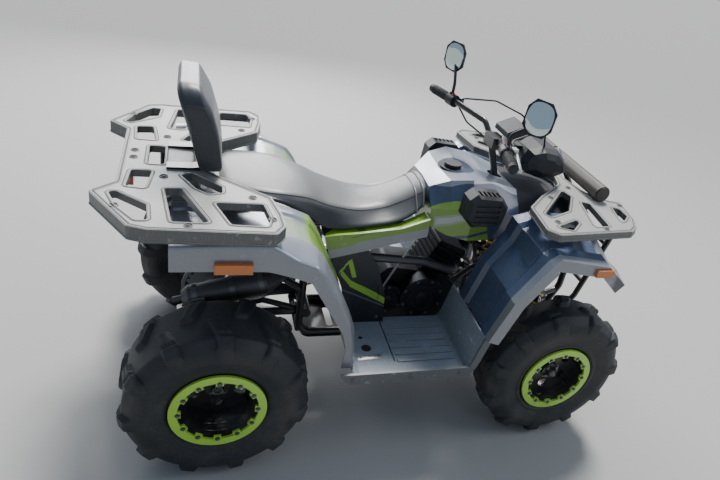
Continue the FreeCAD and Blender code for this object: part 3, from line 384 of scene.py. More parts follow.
def build_groups():
    """Effects shared by the materials."""
    n, given, out = make_group("Moulded grain", "Height", Scale=900.0)
    point = n.place()[0]
    fine = n.noise(point, given["Scale"], 2.0)
    broad = n.noise(point, 14.0, 2.0)
    n.feed(out, n.plus(n.times(fine, 0.6), n.times(broad, 0.4)))

    n, given, out = make_group("Settled dust", "Mask", Amount=0.5, Low=0.2, High=1.0)
    point, _, _, z = n.place()
    patches = n.span(n.noise(point, 9.0, 5.0), 0.42, 0.72)
    fine = n.span(n.noise(point, 120.0), 0.35, 0.75)
    fall = n.span(z, given["Low"], given["High"], 1.0, 0.25)
    mask = n.times(n.plus(n.times(patches, 0.7), n.times(fine, 0.3)), fall)
    n.feed(out, n.times(mask, given["Amount"], clamp=True))

    n, given, out = make_group("Uneven gloss", "Roughness", Base=0.4, Spread=0.1, Scale=12.0)
    patches = n.minus(n.noise(n.place()[0], given["Scale"], 4.0), 0.5)
    n.feed(out, n.math("MULTIPLY_ADD", patches, given["Spread"], given["Base"], clamp=True))

    n, given, out = make_group("Fine scratches", "Mask", Amount=0.4)
    point = n.place()[0]
    masks = []
    for turn, scale in ((0.5, (30, 900, 30)), (2.1, (700, 24, 40))):
        spun = n.node("ShaderNodeMapping", {"Vector": point, "Rotation": (0.3, turn, turn), "Scale": scale})
        masks.append(n.span(n.noise(spun.outputs[0], 1.0, 1.0), 0.66, 0.72))
    n.feed(out, n.times(n.larger(*masks), given["Amount"], clamp=True))

    n, given, out = make_group("Slanted band", "Mask", Across=0.0, Along=0.0, Slope=0.0, Middle=0.0,
                               Half_width=0.02, Start=-10.0, End=10.0)
    line = n.math("MULTIPLY_ADD", given["Along"], given["Slope"], given["Middle"])
    mask = n.edge(n.minus(given["Half width"], n.positive(n.minus(given["Across"], line))))
    for end, to_low, to_high in (("Start", 0.0, 1.0), ("End", 1.0, 0.0)):
        inside = n.span(given["Along"], given[end], n.plus(given[end], 0.001), to_low, to_high)
        mask = n.times(mask, inside)
    n.feed(out, mask)

    n, given, out = make_group("Facing up", "Mask", Low=0.35, High=0.8)
    normal = n.node("ShaderNodeTexCoord").outputs["Normal"]
    up = n.node("ShaderNodeSeparateXYZ", {0: normal}).outputs["Z"]
    n.feed(out, n.span(up, given["Low"], given["High"]))

    n, given, out = make_group("Leather creases", "Height", Scale=240.0)
    point = n.place()[0]
    values = {"Vector": point, "Scale": given["Scale"]}
    cells = n.node("ShaderNodeTexVoronoi", values, feature="DISTANCE_TO_EDGE")
    pores = n.span(cells.outputs["Distance"], 0.0, 0.18)
    n.feed(out, n.plus(n.times(pores, 0.35), n.times(n.noise(point, 7.0, 4.0), 0.65)))


def rgb(value, factor=1.0, lift=0.0):
    """A colour with its alpha, made darker or lighter."""
    return (*(min(1.0, c * factor + lift) for c in tuple(value)[:3]), 1.0)


def material(name, base, roughness, metallic=0.0, coat=0.0, **more):
    """New material, kept in finishes; gives its nodes and its main shader."""
    made = bpy.data.materials.new(name)
    made.use_nodes = True
    made.diffuse_color = rgb(base)
    shader = made.node_tree.nodes["Principled BSDF"]
    values = {"Base_Color": rgb(base), "Roughness": roughness, "Metallic": metallic, "Coat_Weight": coat}
    for key, value in {**values, **more}.items():
        shader.inputs[key.replace("_", " ")].default_value = value
    finishes[name] = made
    return Nodes(made.node_tree), shader


def add_bump(n, shader, height, strength, distance):
    bump = n.node("ShaderNodeBump", {"Height": height, "Strength": strength, "Distance": distance})
    n.feed(shader.inputs["Normal"], bump.outputs[0])


def soil(n, shader, colour, dirt, roughness, spread, scale, dulling):
    """Colour under settled dust, and an uneven gloss that the dust dulls."""
    n.feed(shader.inputs["Base Color"], n.mix(dirt, colour, DUST))
    gloss = n.group("Uneven gloss", Base=roughness, Spread=spread, Scale=scale)
    n.feed(shader.inputs["Roughness"], n.math("MULTIPLY_ADD", dirt, dulling, gloss, clamp=True))


def plastic(name, base, roughness, grain, dust, low=0.2, high=1.0, scuffs=0.25, bump=0.25, wall=0.75):
    """Grained moulding with settled dust and light scuffs; tops keep the full colour and sides are darkened
    as painted shade, wall being the share of the colour that the sides keep.
    """
    n, shader = material(name, base, roughness)
    dirt = n.group("Settled dust", Amount=dust, Low=low, High=high)
    marks = n.group("Fine scratches", Amount=scuffs)
    # painted shade: faces that don't look up get a darker copy of the colour, and the lit tops keep it
    painted_lit_and_shaded = n.mix(n.group("Facing up", Low=0.35, High=0.8), rgb(base, wall), rgb(base))
    soil(n, shader, n.mix(marks, painted_lit_and_shaded, rgb(base, 1.8, 0.02)), dirt, roughness, 0.22, 11.0, 0.25)
    add_bump(n, shader, n.group("Moulded grain", Scale=grain), bump, 0.0006)


def paint(name, layers, tops=False):
    """Silver body paint with painted shade on the faces that don't look up; layers are functions that give
    (mask, colour), kept off undersides by tops.
    """
    silver = colours().silver
    flakes = 0.45
    n, shader = material(name, silver, 0.3, flakes, 0.6, Coat_Roughness=0.12)
    point, x, y, z = n.place()
    fleck = n.span(n.noise(point, 1400.0, 1.0), 0.3, 0.7)
    colour = n.mix(fleck, rgb(silver, 0.88), rgb(silver, 1.1))
    covered = 0.0
    for layer in layers:
        mask, tint = layer(n, x, y, z)
        if tops:
            mask = n.times(mask, n.group("Facing up", Low=-0.02, High=0.06))
        colour = n.mix(mask, colour, rgb(tint))
        covered = n.larger(covered, mask)
    marks = n.group("Fine scratches", Amount=0.09)
    # painted shade: faces that don't look up are darkened to 0.6 of their colour
    up = n.group("Facing up", Low=0.1, High=0.8)
    shade = n.mix(up, (0.6, 0.6, 0.582, 1.0), (1.0, 1.0, 1.0, 1.0))
    colour = n.mix(marks, n.mix(1.0, colour, shade, "MULTIPLY"), (0.6, 0.62, 0.64, 1.0))
    dirt = n.group("Settled dust", Amount=0.25, Low=0.3, High=0.95)
    n.feed(shader.inputs["Metallic"], n.math("MULTIPLY_ADD", covered, -0.4, flakes))
    soil(n, shader, colour, dirt, 0.3, 0.12, 8.0, 0.35)


def band(tint, across, along, slope, middle, half, start=-10.0, end=10.0):
    """Paint layer: a slanted band, in metres; across and along name the part's axes."""
    def layer(n, x, y, z):
        axes = {"x": x, "y": n.positive(y), "z": z}
        return n.group("Slanted band", Across=axes[across], Along=axes[along], Slope=slope, Middle=middle,
                       Half_width=half, Start=start, End=end), tint
    return layer


def below(tint, x0, x1, z0, z1, tail, shoulder=None):
    """Paint layer: all below a swept line that climbs from (x0, z0) to (x1, z1); tail is (start, end, fall).

    A shoulder (x0, x1, y0, y1, end, fall) keeps the layer outside a half width that grows from y0 to y1.
    """
    def layer(n, x, y, z):
        line = n.plus(n.span(x, x0, x1, z0, z1), n.span(x, tail[0], tail[1], 0.0, tail[2]))
        mask = n.edge(n.minus(line, z))
        if shoulder:
            a, b, y0, y1, end, fall = shoulder
            width = n.plus(n.span(x, a, b, y0, y1), n.span(x, b, end, 0.0, -fall))
            mask = n.times(mask, n.edge(n.minus(n.positive(y), width)))
        return mask, tint
    return layer


def above(tint, slope, middle, x0, x1, step):
    """Paint layer: all above a slanted line that steps up between x0 and x1."""
    def layer(n, x, y, z):
        line = n.plus(n.math("MULTIPLY_ADD", x, slope, middle), n.span(x, x0, x1, 0.0, step))
        return n.edge(n.minus(z, line)), tint
    return layer


def patch(tint, low, high, soft, strength):
    """Paint layer: a box from low to high (x, |y|, z), with soft sides."""
    def layer(n, x, y, z):
        mask = strength
        for value, a, b in zip((x, n.positive(y), z), low, high):
            rise = n.span(value, a - soft, a + soft)
            mask = n.times(mask, n.times(rise, n.span(value, b - soft, b + soft, 1.0, 0.0)))
        return mask, tint
    return layer


def round_patch(tint, centre_x, radius):
    """Paint layer: a round field about a point of the middle line."""
    def layer(n, x, y, z):
        off = n.minus(x, centre_x)
        reach = n.math("SQRT", n.plus(n.times(off, off), n.times(y, y)))
        return n.span(reach, radius - 0.001, radius + 0.001, 1.0, 0.0), tint
    return layer


def metal(name, base, roughness, scratches, dust, high):
    """Bare metal with dark scratches."""
    bare = 0.9
    n, shader = material(name, base, roughness, bare)
    marks = n.group("Fine scratches", Amount=scratches)
    dirt = n.group("Settled dust", Amount=dust, Low=0.1, High=high)
    n.feed(shader.inputs["Metallic"], n.math("MULTIPLY_ADD", dirt, -0.8, bare, clamp=True))
    soil(n, shader, n.mix(marks, rgb(base), rgb(base, 0.6)), dirt, roughness, 0.2, 20.0, 0.4)


def enamel(name, base, roughness, dust, high):
    """Gloss paint on metal."""
    n, shader = material(name, base, roughness, 0.0, 0.4, Coat_Roughness=0.15)
    dirt = n.group("Settled dust", Amount=dust, Low=0.1, High=high)
    soil(n, shader, rgb(base), dirt, roughness, 0.2, 15.0, 0.4)


def lens(name, base, roughness=0.12, ribs=260.0):
    """Clear coloured lamp cover with fine ribs."""
    n, shader = material(name, base, roughness, 0.0, 0.6, IOR=1.49, Transmission_Weight=0.35)
    _, x, y, _ = n.place()
    add_bump(n, shader, n.math("SINE", n.times(n.plus(x, y), ribs * 6.28)), 0.35, 0.0004)


def make_finishes():
    """Every finish of the bike."""
    c = colours()
    navy = (0.04, 0.07, 0.15)
    soft_lime = (0.4, 0.52, 0.27)
    paint("rear_guard", [
        patch(soft_lime, (-0.43, 0.24, 0.5), (-0.2, 0.345, 1.0), 0.025, 0.6),
        patch(c.lime, (-0.345, 0.186, 0.5), (-0.15, 0.33, 1.0), 0.012, 0.9)], tops=True)
    paint("front_guard", [
        # painted reflection: the dark blue band across the guard stands in for the blue sky that it reflects
        band((0.055, 0.09, 0.18), "y", "z", 0.0, 0.342, 0.126, 0.0, 2.0),
        patch((0.05, 0.06, 0.075), (0.68, 0.425, 0.4), (1.0, 0.6, 1.0), 0.012, 0.9)])
    cap_low, cap_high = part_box("fuel_cap")
    paint("cowl", [
        round_patch((0.03, 0.045, 0.085), (cap_low[0] + cap_high[0]) / 2 + 0.014, 0.068),
        below(navy, 0.09, 0.24, 0.852, 0.893, (0.3, 0.44, -0.045), (0.09, 0.235, 0.092, 0.15, 0.43, 0.034)),
        below(c.lime, 0.04, 0.19, 0.77, 0.834, (0.27, 0.33, -0.14)),
        band(soft_lime, "z", "x", 0.42, 0.697, 0.02, 0.112, 0.232),
        band(c.pale, "z", "x", 0.42, 0.697, 0.011, 0.118, 0.226),
        band(navy, "z", "x", 0.25, 0.655, 0.006, 0.0, 0.34)])
    paint("side_strip", [
        above(c.lime, 0.25, 0.69, -0.165, -0.14, 0.009),
        band((0.11, 0.2, 0.03), "z", "x", 0.33, 0.736, 0.0022, -0.17, 0.02)])
    # name, colour, roughness, grain, dust and the heights it fades between, scuffs, bump, painted shade of
    # the walls
    for row in (
            ("rack", c.rack, 0.42, 700.0, 0.22, 0.3, 0.95, 0.2, 0.3, 0.36),
            ("rack_groove", (0.035, 0.036, 0.036), 0.6, 500.0, 0.3),
            ("black_plastic", c.moulded, 0.5, 800.0, 0.06),
            ("floor_pan_painted_sky_light", c.floor_pan_painted_sky_light, 0.42, 600.0, 0.35, 0.25, 0.5, 0.6, 0.4),
            ("step_lip", (0.17, 0.19, 0.2), 0.38, 600.0, 0.3, 0.25, 0.5, 0.5, 0.3, 0.6),
            ("tube", c.tube, 0.5, 300.0, 0.25, 0.6, 1.1, 0.3, 0.2),
            ("rubber", c.rubber, 0.6, 350.0, 0.3, 0.05, 0.7, 0.05, 0.5),
            ("grip_rubber", (0.02, 0.02, 0.02), 0.6, 500.0, 0.2, 0.9, 1.2, 0.1, 0.3)):
        plastic(*row)
    # name, colour, roughness, scratches, dust and the height where it is thin
    for row in (
            ("engine", (0.035, 0.036, 0.042), 0.5, 0.2, 0.15, 0.7),
            ("muffler", (0.11, 0.11, 0.115), 0.45, 0.3, 0.35, 0.8),
            ("steel", (0.5, 0.5, 0.5), 0.3, 0.3, 0.35, 0.6),
            ("aluminium", (0.55, 0.56, 0.58), 0.35, 0.2, 0.3, 0.7),
            ("dark_zinc", (0.16, 0.16, 0.165), 0.35, 0.2, 0.3, 1.0),
            ("chrome", (0.75, 0.76, 0.78), 0.1, 0.1, 0.05, 1.0),
            ("zinc", (0.62, 0.62, 0.6), 0.25, 0.2, 0.15, 1.0)):
        metal(*row)
    # name, colour, roughness, dust and the height where it is thin
    for row in (
            ("frame_black", (0.018, 0.018, 0.02), 0.32, 0.25, 0.7),
            ("rim_black", (0.014, 0.015, 0.018), 0.3, 0.5, 0.6),
            ("lime_metal", rgb(c.lime, 1.5), 0.3, 0.2, 0.6),
            ("front_spring", c.front_spring, 0.3, 0.3, 0.8),
            ("rear_spring", c.rear_spring, 0.3, 0.3, 0.8)):
        enamel(*row)
    lens("orange_lens", (0.75, 0.22, 0.03))
    lens("red_lens", (0.5, 0.01, 0.01))
    lens("clear_lens", (0.75, 0.78, 0.8), 0.08, 120.0)
    material("mirror_glass", (0.62, 0.72, 0.72), 0.03, 1.0)
    material("piping", c.piping, 0.35)
    side_panel_finish(c)
    vinyl_finish(c)


def side_panel_finish(c):
    """Black side panel with the lime V on its outer face."""
    n, shader = material("side_panel", c.moulded, 0.38)
    _, x, y, z = n.place()
    # across, along, slope, middle, half width, start and end of each stroke
    mask = 0.0
    for stroke in (
            ("z", "x", -0.567, 0.407, 0.0135, -0.152, -0.003), ("z", "x", -1.19, 0.3146, 0.012, -0.19, -0.15),
            ("z", "x", 1.32, 0.797, 0.0065, -0.196, -0.157),
            ("x", "z", -0.336, 0.0348, 0.0085, 0.515, 0.584)):
        mask = n.larger(mask, band(c.lime, *stroke)(n, x, y, z)[0])
    mask = n.times(mask, n.span(n.positive(y), 0.1706, 0.1714))
    # painted highlight: a lighter blue-grey line along the panel's crease, mixed in at half strength
    crease, tint = band((0.2, 0.24, 0.3), "z", "x", -0.457, 0.3855, 0.0028, -0.19, 0.0)(n, x, y, z)
    colour = n.mix(n.times(crease, 0.5), rgb(c.moulded), rgb(tint))
    dirt = n.group("Settled dust", Amount=0.3, Low=0.3, High=0.7)
    n.feed(shader.inputs["Base Color"], n.mix(dirt, n.mix(mask, colour, rgb(c.lime)), DUST))
    add_bump(n, shader, n.group("Moulded grain", Scale=700.0), 0.2, 0.0006)


def vinyl_finish(c):
    """Satin cover with a painted sheen that lightens its tops, and with pores and soft folds."""
    n, shader = material("vinyl", c.vinyl, 0.34, 0.0, 0.1, Sheen_Weight=0.08)
    dirt = n.group("Settled dust", Amount=0.12, Low=0.5, High=1.2)
    # painted sheen: faces that look up are made a lighter grey than the black vinyl
    painted_lit_and_shaded = n.mix(n.group("Facing up", Low=0.25, High=0.95), rgb(c.vinyl), (0.125, 0.127, 0.135, 1.0))
    n.feed(shader.inputs["Base Color"], n.mix(dirt, painted_lit_and_shaded, (0.3, 0.29, 0.27, 1.0)))
    n.feed(shader.inputs["Roughness"], n.group("Uneven gloss", Base=0.36, Spread=0.2, Scale=9.0))
    add_bump(n, shader, n.group("Leather creases", Scale=260.0), 0.3, 0.0012)


# each finish and the nodes that it goes on
NODE_FINISHES = {
    "frame_black": ("frame", "skid_plate", "swing_arm", "front_arms", "rack_posts", "front_bumper",
                    "backrest_bracket", "tow_hitch", "steering_column", "handlebar"),
    "black_plastic": ("fuel_cap", "side_pods", "front_cover", "switch_blocks", "mirrors", "headlight_pod"),
    "steel": ("chain", "rear_axle", "sprocket", "rear_brake_disc", "tie_rod_left", "tie_rod_right"),
    "aluminium": ("levers", "knuckle_left", "knuckle_right"),
    "rubber": ("rear_tyres", "front_tyre_left", "front_tyre_right"),
    "rim_black": ("rear_rims", "front_rim_left", "front_rim_right"),
    "lime_metal": ("rear_bead_rings", "front_bead_ring_left", "front_bead_ring_right"),
    "orange_lens": ("rear_signals", "front_signals"), "red_lens": ("tail_lamp",),
    "clear_lens": ("headlight_lens",), "engine": ("engine",), "muffler": ("exhaust",),
    "rack": ("front_rack", "rear_rack"), "tube": ("accessory_tube",), "front_guard": ("front_fenders",),
    "rear_guard": ("rear_fenders",), "cowl": ("cowl",), "floor_pan_painted_sky_light": ("footwells",),
    "step_lip": ("step_trims",), "side_strip": ("side_strips",), "side_panel": ("side_panels",),
    "grip_rubber": ("grips",), "vinyl": ("seat", "backrest"), "rear_spring": ("rear_shock",),
    "front_spring": ("front_shocks",),
}


class QUAD_OT_finishes(bpy.types.Operator):
    """Makes the shared effects and finishes and puts them on the solids"""
    bl_idname = "quad.finishes"
    bl_label = "Finishes"

    def execute(self, context):
        build_groups()
        make_finishes()
        look = {name: finish for finish, names in NODE_FINISHES.items() for name in names}
        for name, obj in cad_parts.items():
            obj.data.materials.clear()
            obj.data.materials.append(finishes[look[name]])
        return {"FINISHED"}


# ---- tyres ----
LUG_HEIGHT = 0.013
# lugs of one row round the tyre, and steps of the skin from one row's lug to the other's
LUG_PITCHES = 11
STEPS_PER_LUG = 16
# how far from the middle of the tread the lugs begin, and half the width of their sloping sides
LUG_START = 0.006
LUG_EDGE = 0.0022


def tyre_rows(radius, half, bead):
    """Section from the middle of the tread to the bead: carcass (y, r) and lug top (y, r)."""
    crown = radius - LUG_HEIGHT
    rows = [
        (0.0, crown, 0.0, crown), (LUG_START, crown, LUG_START, crown), (0.007, crown, 0.007, radius),
        (half - 0.051, crown, half - 0.051, radius), (half - 0.047, crown, half - 0.047, radius - 0.008),
        (half - 0.043, crown, half - 0.043, radius - 0.008),
        (half - 0.037, crown, half - 0.036, radius - 0.001),
        (half - 0.009, crown - 0.026, half - 0.005, radius - 0.02),
        (half - 0.002, crown - 0.044, half + 0.0008, crown - 0.04),
        (half - 0.001, crown - 0.05, half, crown - 0.05)]
    # the side wall carries no lugs
    for y, r in ((half, crown - 0.06), (half - 0.003, crown - 0.075), (half - 0.01, 0.163),
                 (bead + 0.012, 0.152), (bead + 0.003, 0.1425), (bead, 0.1405), (bead, 0.1275)):
        rows.append((y, r, y, r))
    fine = []
    for a, b in zip(rows, rows[1:]):
        steps = max(1, round(math.hypot(b[0] - a[0], b[1] - a[1]) / 0.0045))
        for k in range(steps):
            fine.append([p + (q - p) * k / steps for p, q in zip(a, b)])
    fine.append(list(rows[-1]))
    eased = [fine[0]]
    for a, here, b in zip(fine, fine[1:], fine[2:]):
        eased.append([(p + 2 * q + r) / 4 for p, q, r in zip(a, here, b)])
    return eased + [fine[-1]]


def lug_cover(x, y, lead, w, knee):
    """How far a point of the tread (x along it, y across it) is inside a lug, 0 to 1."""
    if y < knee:
        t = (y - LUG_START) / (knee - LUG_START)
        low = -w - lead + t * 2 * lead
        high = (w * 0.55 - lead) + t * (w * 0.45 + 2 * lead)
    else:
        low = lead - w
        high = lead + w
    return smoothstep(-LUG_EDGE, LUG_EDGE, min(x - low, high - x))


def tyre_shape(shape, centre, width, bead):
    """Tyre with two staggered rows of moulded lugs, made as one fine skin."""
    radius = centre[2]
    half = width / 2
    rows = tyre_rows(radius, half, bead)
    section = [(-y0, r0, -y1, r1, 1) for y0, r0, y1, r1 in rows[::-1]][:-1]
    section += [(y0, r0, y1, r1, 0) for y0, r0, y1, r1 in rows]
    w = math.pi * radius / LUG_PITCHES * 0.3
    lead = w * 0.55
    knee = half - 0.042
    # a raised line runs round the side wall at this radius
    line_radius = 0.158
    line_width = 0.006
    groove = sizes().sipe
    count = 2 * LUG_PITCHES * STEPS_PER_LUG
    skin = []
    for k in range(count):
        angle = math.tau * k / count
        nearest = round(angle / (math.pi / LUG_PITCHES))
        row = []
        for y0, r0, y1, r1, odd in section:
            cover = 0.0
            depth = 0.0
            lugged = abs(r1 - r0) + abs(y1 - y0) > 1e-5
            if lugged:
                for i in (nearest - 1, nearest, nearest + 1):
                    if i % 2 == odd:
                        x = (angle - i * math.pi / LUG_PITCHES) * radius
                        cover = max(cover, lug_cover(x, abs(y0), lead, w, knee))
                        across = abs(x - lead * (2 * (abs(y0) - LUG_START) / (knee - LUG_START) - 1))
                        if 0.02 < abs(y0) < knee - 0.006:
                            depth = max(depth, 1 - smoothstep(0.0012, 0.0035, across))
            y = y0 + (y1 - y0) * cover
            r = r0 + (r1 - r0) * cover - groove * depth * cover
            reach = math.hypot(r0 - line_radius, abs(y0) - (half - 0.008))
            if reach < line_width and not lugged:
                y += math.copysign(0.0016 * (1 - reach / line_width), y)
            row.append(Vector((centre[0] + r * math.sin(angle), centre[1] + y, radius + r * math.cos(angle))))
        skin.append(row)
    shape.rows(skin, looped=True)
    shape.rows([[row[-1], row[0]] for row in skin], looped=True)


class QUAD_OT_tyres(bpy.types.Operator):
    """Tyres with moulded lugs in place of the plain ones"""
    bl_idname = "quad.tyres"
    bl_label = "Tyres"

    def execute(self, context):
        rear = Shape()
        tyre_shape(rear, REAR_WHEEL, 0.25, 0.1)
        rear.mirrored()
        made = rear.piece("rear_tyres_lugged", "rear_wheels", ["rubber"], crease=60)
        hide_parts("rear_tyres")
        x, y, z = FRONT_WHEEL
        for side, s in SIDES:
            front = Shape()
            tyre_shape(front, (x, s * y, z), 0.18, 0.072)
            made = front.piece("front_tyre_lugged_" + side, "front_wheel_" + side, ["rubber"],
                               crease=60)
            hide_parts("front_tyre_" + side)
        return {"FINISHED"}


# ---- wheels ----
def wheel_trim(shape, centre, side, half, disc):
    """Ring bolts, hub nuts and cap, valve and the barrel's ribs; side is 1 or -1."""
    x, y, z = centre
    out = Vector((0, side, 0))
    bolt_circle = 0.1125
    ring_face = y + side * (half + 0.0092)
    for i in range(12):
        foot = upright((x, ring_face, z), bolt_circle, math.tau * i / 12)
        hex_head(shape, foot, out, sizes().bolt, 0.005, 0)
    nut_circle = 0.026
    hub_face = y + side * (disc + 0.022)
    for i in range(4):
        foot = upright((x, hub_face, z), nut_circle, math.pi / 4 + math.pi / 2 * i)
        hex_head(shape, foot, out, 0.0075, 0.009, 0)
    cap = [(-0.002, 0.019), (0.012, 0.0185), (0.02, 0.012), (0.021, 0.002)]
    lathe(shape, (x, hub_face, z), out, cap, 24, 1)
    rib = [(0.0, 0.119), (0.004, 0.1172), (0.01, 0.1172), (0.014, 0.119)]
    for depth in (0.034, 0.064):
        lathe(shape, (x, y + side * (half - depth), z), out, rib, 64, 1, capped=False)
    valve = [(0, 0.005), (0.016, 0.0045), (0.017, 0.0038), (0.028, 0.0038)]
    lathe(shape, (x + 0.085, y + side * (disc + 0.006), z - 0.07), (0.35, side, -0.3), valve, 12, 2)


class QUAD_OT_wheel_trim(bpy.types.Operator):
    """Bolts of the clamp rings, hub nuts, caps and valves"""
    bl_idname = "quad.wheel_trim"
    bl_label = "Wheel fixings"

    def execute(self, context):
        looks = ("dark_zinc", "rim_black", "grip_rubber")
        rear = Shape()
        wheel_trim(rear, REAR_WHEEL, 1, 0.1053, -0.015)
        rear.mirrored()
        rear.piece("rear_wheel_fixings", "rear_wheels", looks)
        x, y, z = FRONT_WHEEL
        for side, s in SIDES:
            front = Shape()
            wheel_trim(front, (x, s * y, z), s, 0.0773, 0.014)
            front.piece("front_wheel_fixings_" + side, "front_wheel_" + side, looks)
        return {"FINISHED"}


# ---- springs ----
def coil_over(shape, low, high, spring_r, wire, coils, foot, head):
    """Damper, collars and a true coil between two eyes (axis, outer radius, bore)."""
    low = Vector(low)
    high = Vector(high)
    run = high - low
    length = run.length
    run.normalize()
    half_eye = 0.012
    rim = 0.006
    # faces of the collars that hold the coil, measured from the lower eye
    near = foot[1] + 0.015
    far = length - head[1] - 0.011
    lathe(shape, low, run, [(foot[1] - 0.004, 0.011), (near, 0.011)], 24, 1)
    collar = [(near, spring_r * 0.5), (near, spring_r), (near + rim, spring_r),
              (near + 0.007, spring_r * 0.62), (near + 0.02, spring_r * 0.6)]
    lathe(shape, low, run, collar, 32, 1)
    lathe(shape, low, run, [(near, spring_r * 0.55), (near + (far - near) * 0.58, spring_r * 0.55)], 28, 2)
    lathe(shape, low, run, [(near + (far - near) * 0.57, 0.0065), (far, 0.0065)], 16, 3)
    collar = [(far - 0.02, spring_r * 0.6), (far - 0.007, spring_r * 0.62), (far - rim, spring_r),
              (far, spring_r), (far + 0.001, spring_r * 0.4), (length - head[1] + 0.004, spring_r * 0.4)]
    lathe(shape, low, run, collar, 32, 1)
    for centre, (axis, outer, bore) in ((low, foot), (high, head)):
        eye = [(-half_eye, bore), (-half_eye, outer), (half_eye, outer), (half_eye, bore), (-half_eye, bore)]
        lathe(shape, centre, axis, eye, 28, 1, capped=False)
    u, v = frame_of(run)
    reach = spring_r - wire
    start = near + rim + wire
    travel = far - rim - wire - start
    path = []
    steps = coils * 28
    for i in range(steps + 1):
        t = i / steps
        turn = math.tau * coils * t
        h = start + travel * (smoothstep(0, 1, t) * 0.25 + t * 0.75)
        path.append(low + run * h + u * (reach * math.cos(turn)) + v * (reach * math.sin(turn)))
    sweep(shape, path, wire, 10)


class QUAD_OT_springs(bpy.types.Operator):
    """Coil springs with their dampers"""
    bl_idname = "quad.springs"
    bl_label = "Springs"

    def execute(self, context):
        damper = ["aluminium", "frame_black", "zinc"]
        rear = Shape()
        coil_over(rear, (-0.537, 0, 0.343), (-0.43, 0, 0.697), 0.036, sizes().rear_wire, 8,
                  (ALONG_Y, 0.015, 0.0081), (ALONG_Y, 0.02, 0.0121))
        made = rear.piece("rear_coil_over", "chassis", ["rear_spring"] + damper)
        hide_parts("rear_shock")
        front = Shape()
        coil_over(front, (0.59, 0.268, 0.246), (0.602, 0.172, 0.7), 0.028, sizes().front_wire, 10,
                  (ALONG_X, 0.013, 0.0061), (ALONG_Y, 0.02, 0.0111))
        front.mirrored()
        made = front.piece("front_coil_overs", "chassis", ["front_spring"] + damper)
        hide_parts("front_shocks")
        return {"FINISHED"}


# ---- seat ----
# station, half width and height of the hem, half width and height of the upper edge, crown height
SEAT = (
    (-0.59, 0.118, 0.815, 0.096, 0.828, 0.836), (-0.56, 0.148, 0.812, 0.126, 0.832, 0.841),
    (-0.47, 0.172, 0.804, 0.15, 0.829, 0.84), (-0.4, 0.168, 0.782, 0.148, 0.822, 0.832),
    (-0.32, 0.158, 0.738, 0.129, 0.803, 0.815), (-0.25, 0.152, 0.694, 0.12, 0.776, 0.788),
    (-0.15, 0.15, 0.694, 0.104, 0.754, 0.764), (-0.05, 0.146, 0.709, 0.085, 0.758, 0.769),
    (0.0, 0.139, 0.718, 0.08, 0.777, 0.788), (0.05, 0.127, 0.741, 0.078, 0.802, 0.814),
    (0.0997, 0.106, 0.775, 0.078, 0.833, 0.846))


def seat_row(x, w, hem, edge, high, crown, shrink):
    """Closed section of the saddle, drawn in towards its middle by a share."""
    middle = (hem + crown) / 2
    half = [(w - 0.014, hem), (w - 0.001, hem + 0.006), (w - 0.001, hem + 0.016),
            ((w + edge) / 2 + 0.006, (hem + high) / 2), (edge + 0.01, high - 0.012),
            (edge - 0.004, high + 0.0015), (edge * 0.55, crown - 0.0025), (0.0, crown)]
    points = softened([(0, y, z) for y, z in half + [(-y, z) for y, z in half[:-1][::-1]]], 3)
    keep = 1 - shrink
    return [Vector((x, p.y * keep, middle + (p.z - middle) * keep)) for p in points]


class QUAD_OT_seat(bpy.types.Operator):
    """Saddle in satin vinyl with its welts"""
    bl_idname = "quad.seat"
    bl_label = "Seat"

    def execute(self, context):
        shape = Shape()
        end_round = 0.03
        rows = []
        for line in smooth_table(SEAT, 56):
            end = min(line[0] - SEAT[0][0], SEAT[-1][0] - line[0], end_round)
            shrink = 0.1 * (1 - math.sqrt(max(0.0, 1 - (1 - end / end_round) ** 2)))
            rows.append(seat_row(*line, shrink))
        shape.rows(rows, closed=True, capped=True)
        count = len(rows[0])
        welt = sizes().welt
        for at, radius in ((0.088, welt * 1.25), (0.068, welt)):
            row = min(rows, key=lambda r: abs(r[0].x - at))
            middle = Vector((row[0].x, 0, sum(p.z for p in row) / count))
            sweep(shape, [middle + (p - middle) * 1.004 for p in row], radius, 8, looped=True, finish=1)
        middle_row = rows[len(rows) // 2]
        for _, s in SIDES:
            at = max(range(count), key=lambda k: s * middle_row[k].y * 0.9 + middle_row[k].z)
            seam = [row[at] + Vector((0, s * 0.0003, -0.0002)) for row in rows[1:-1]]
            sweep(shape, seam, welt * 0.45, 6)
        made = shape.piece("seat_saddle", "chassis", ["vinyl", "piping"], crease=70)
        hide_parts("seat")
        return {"FINISHED"}


# side profile (x, z) of the backrest pad, from the lower front corner
BACKREST = (
    (-0.583, 0.8735), (-0.65, 0.8735), (-0.673, 0.97), (-0.697, 1.052), (-0.712, 1.104), (-0.7035, 1.1255),
    (-0.68, 1.1265), (-0.651, 1.1225), (-0.6205, 1.064), (-0.5965, 0.984))


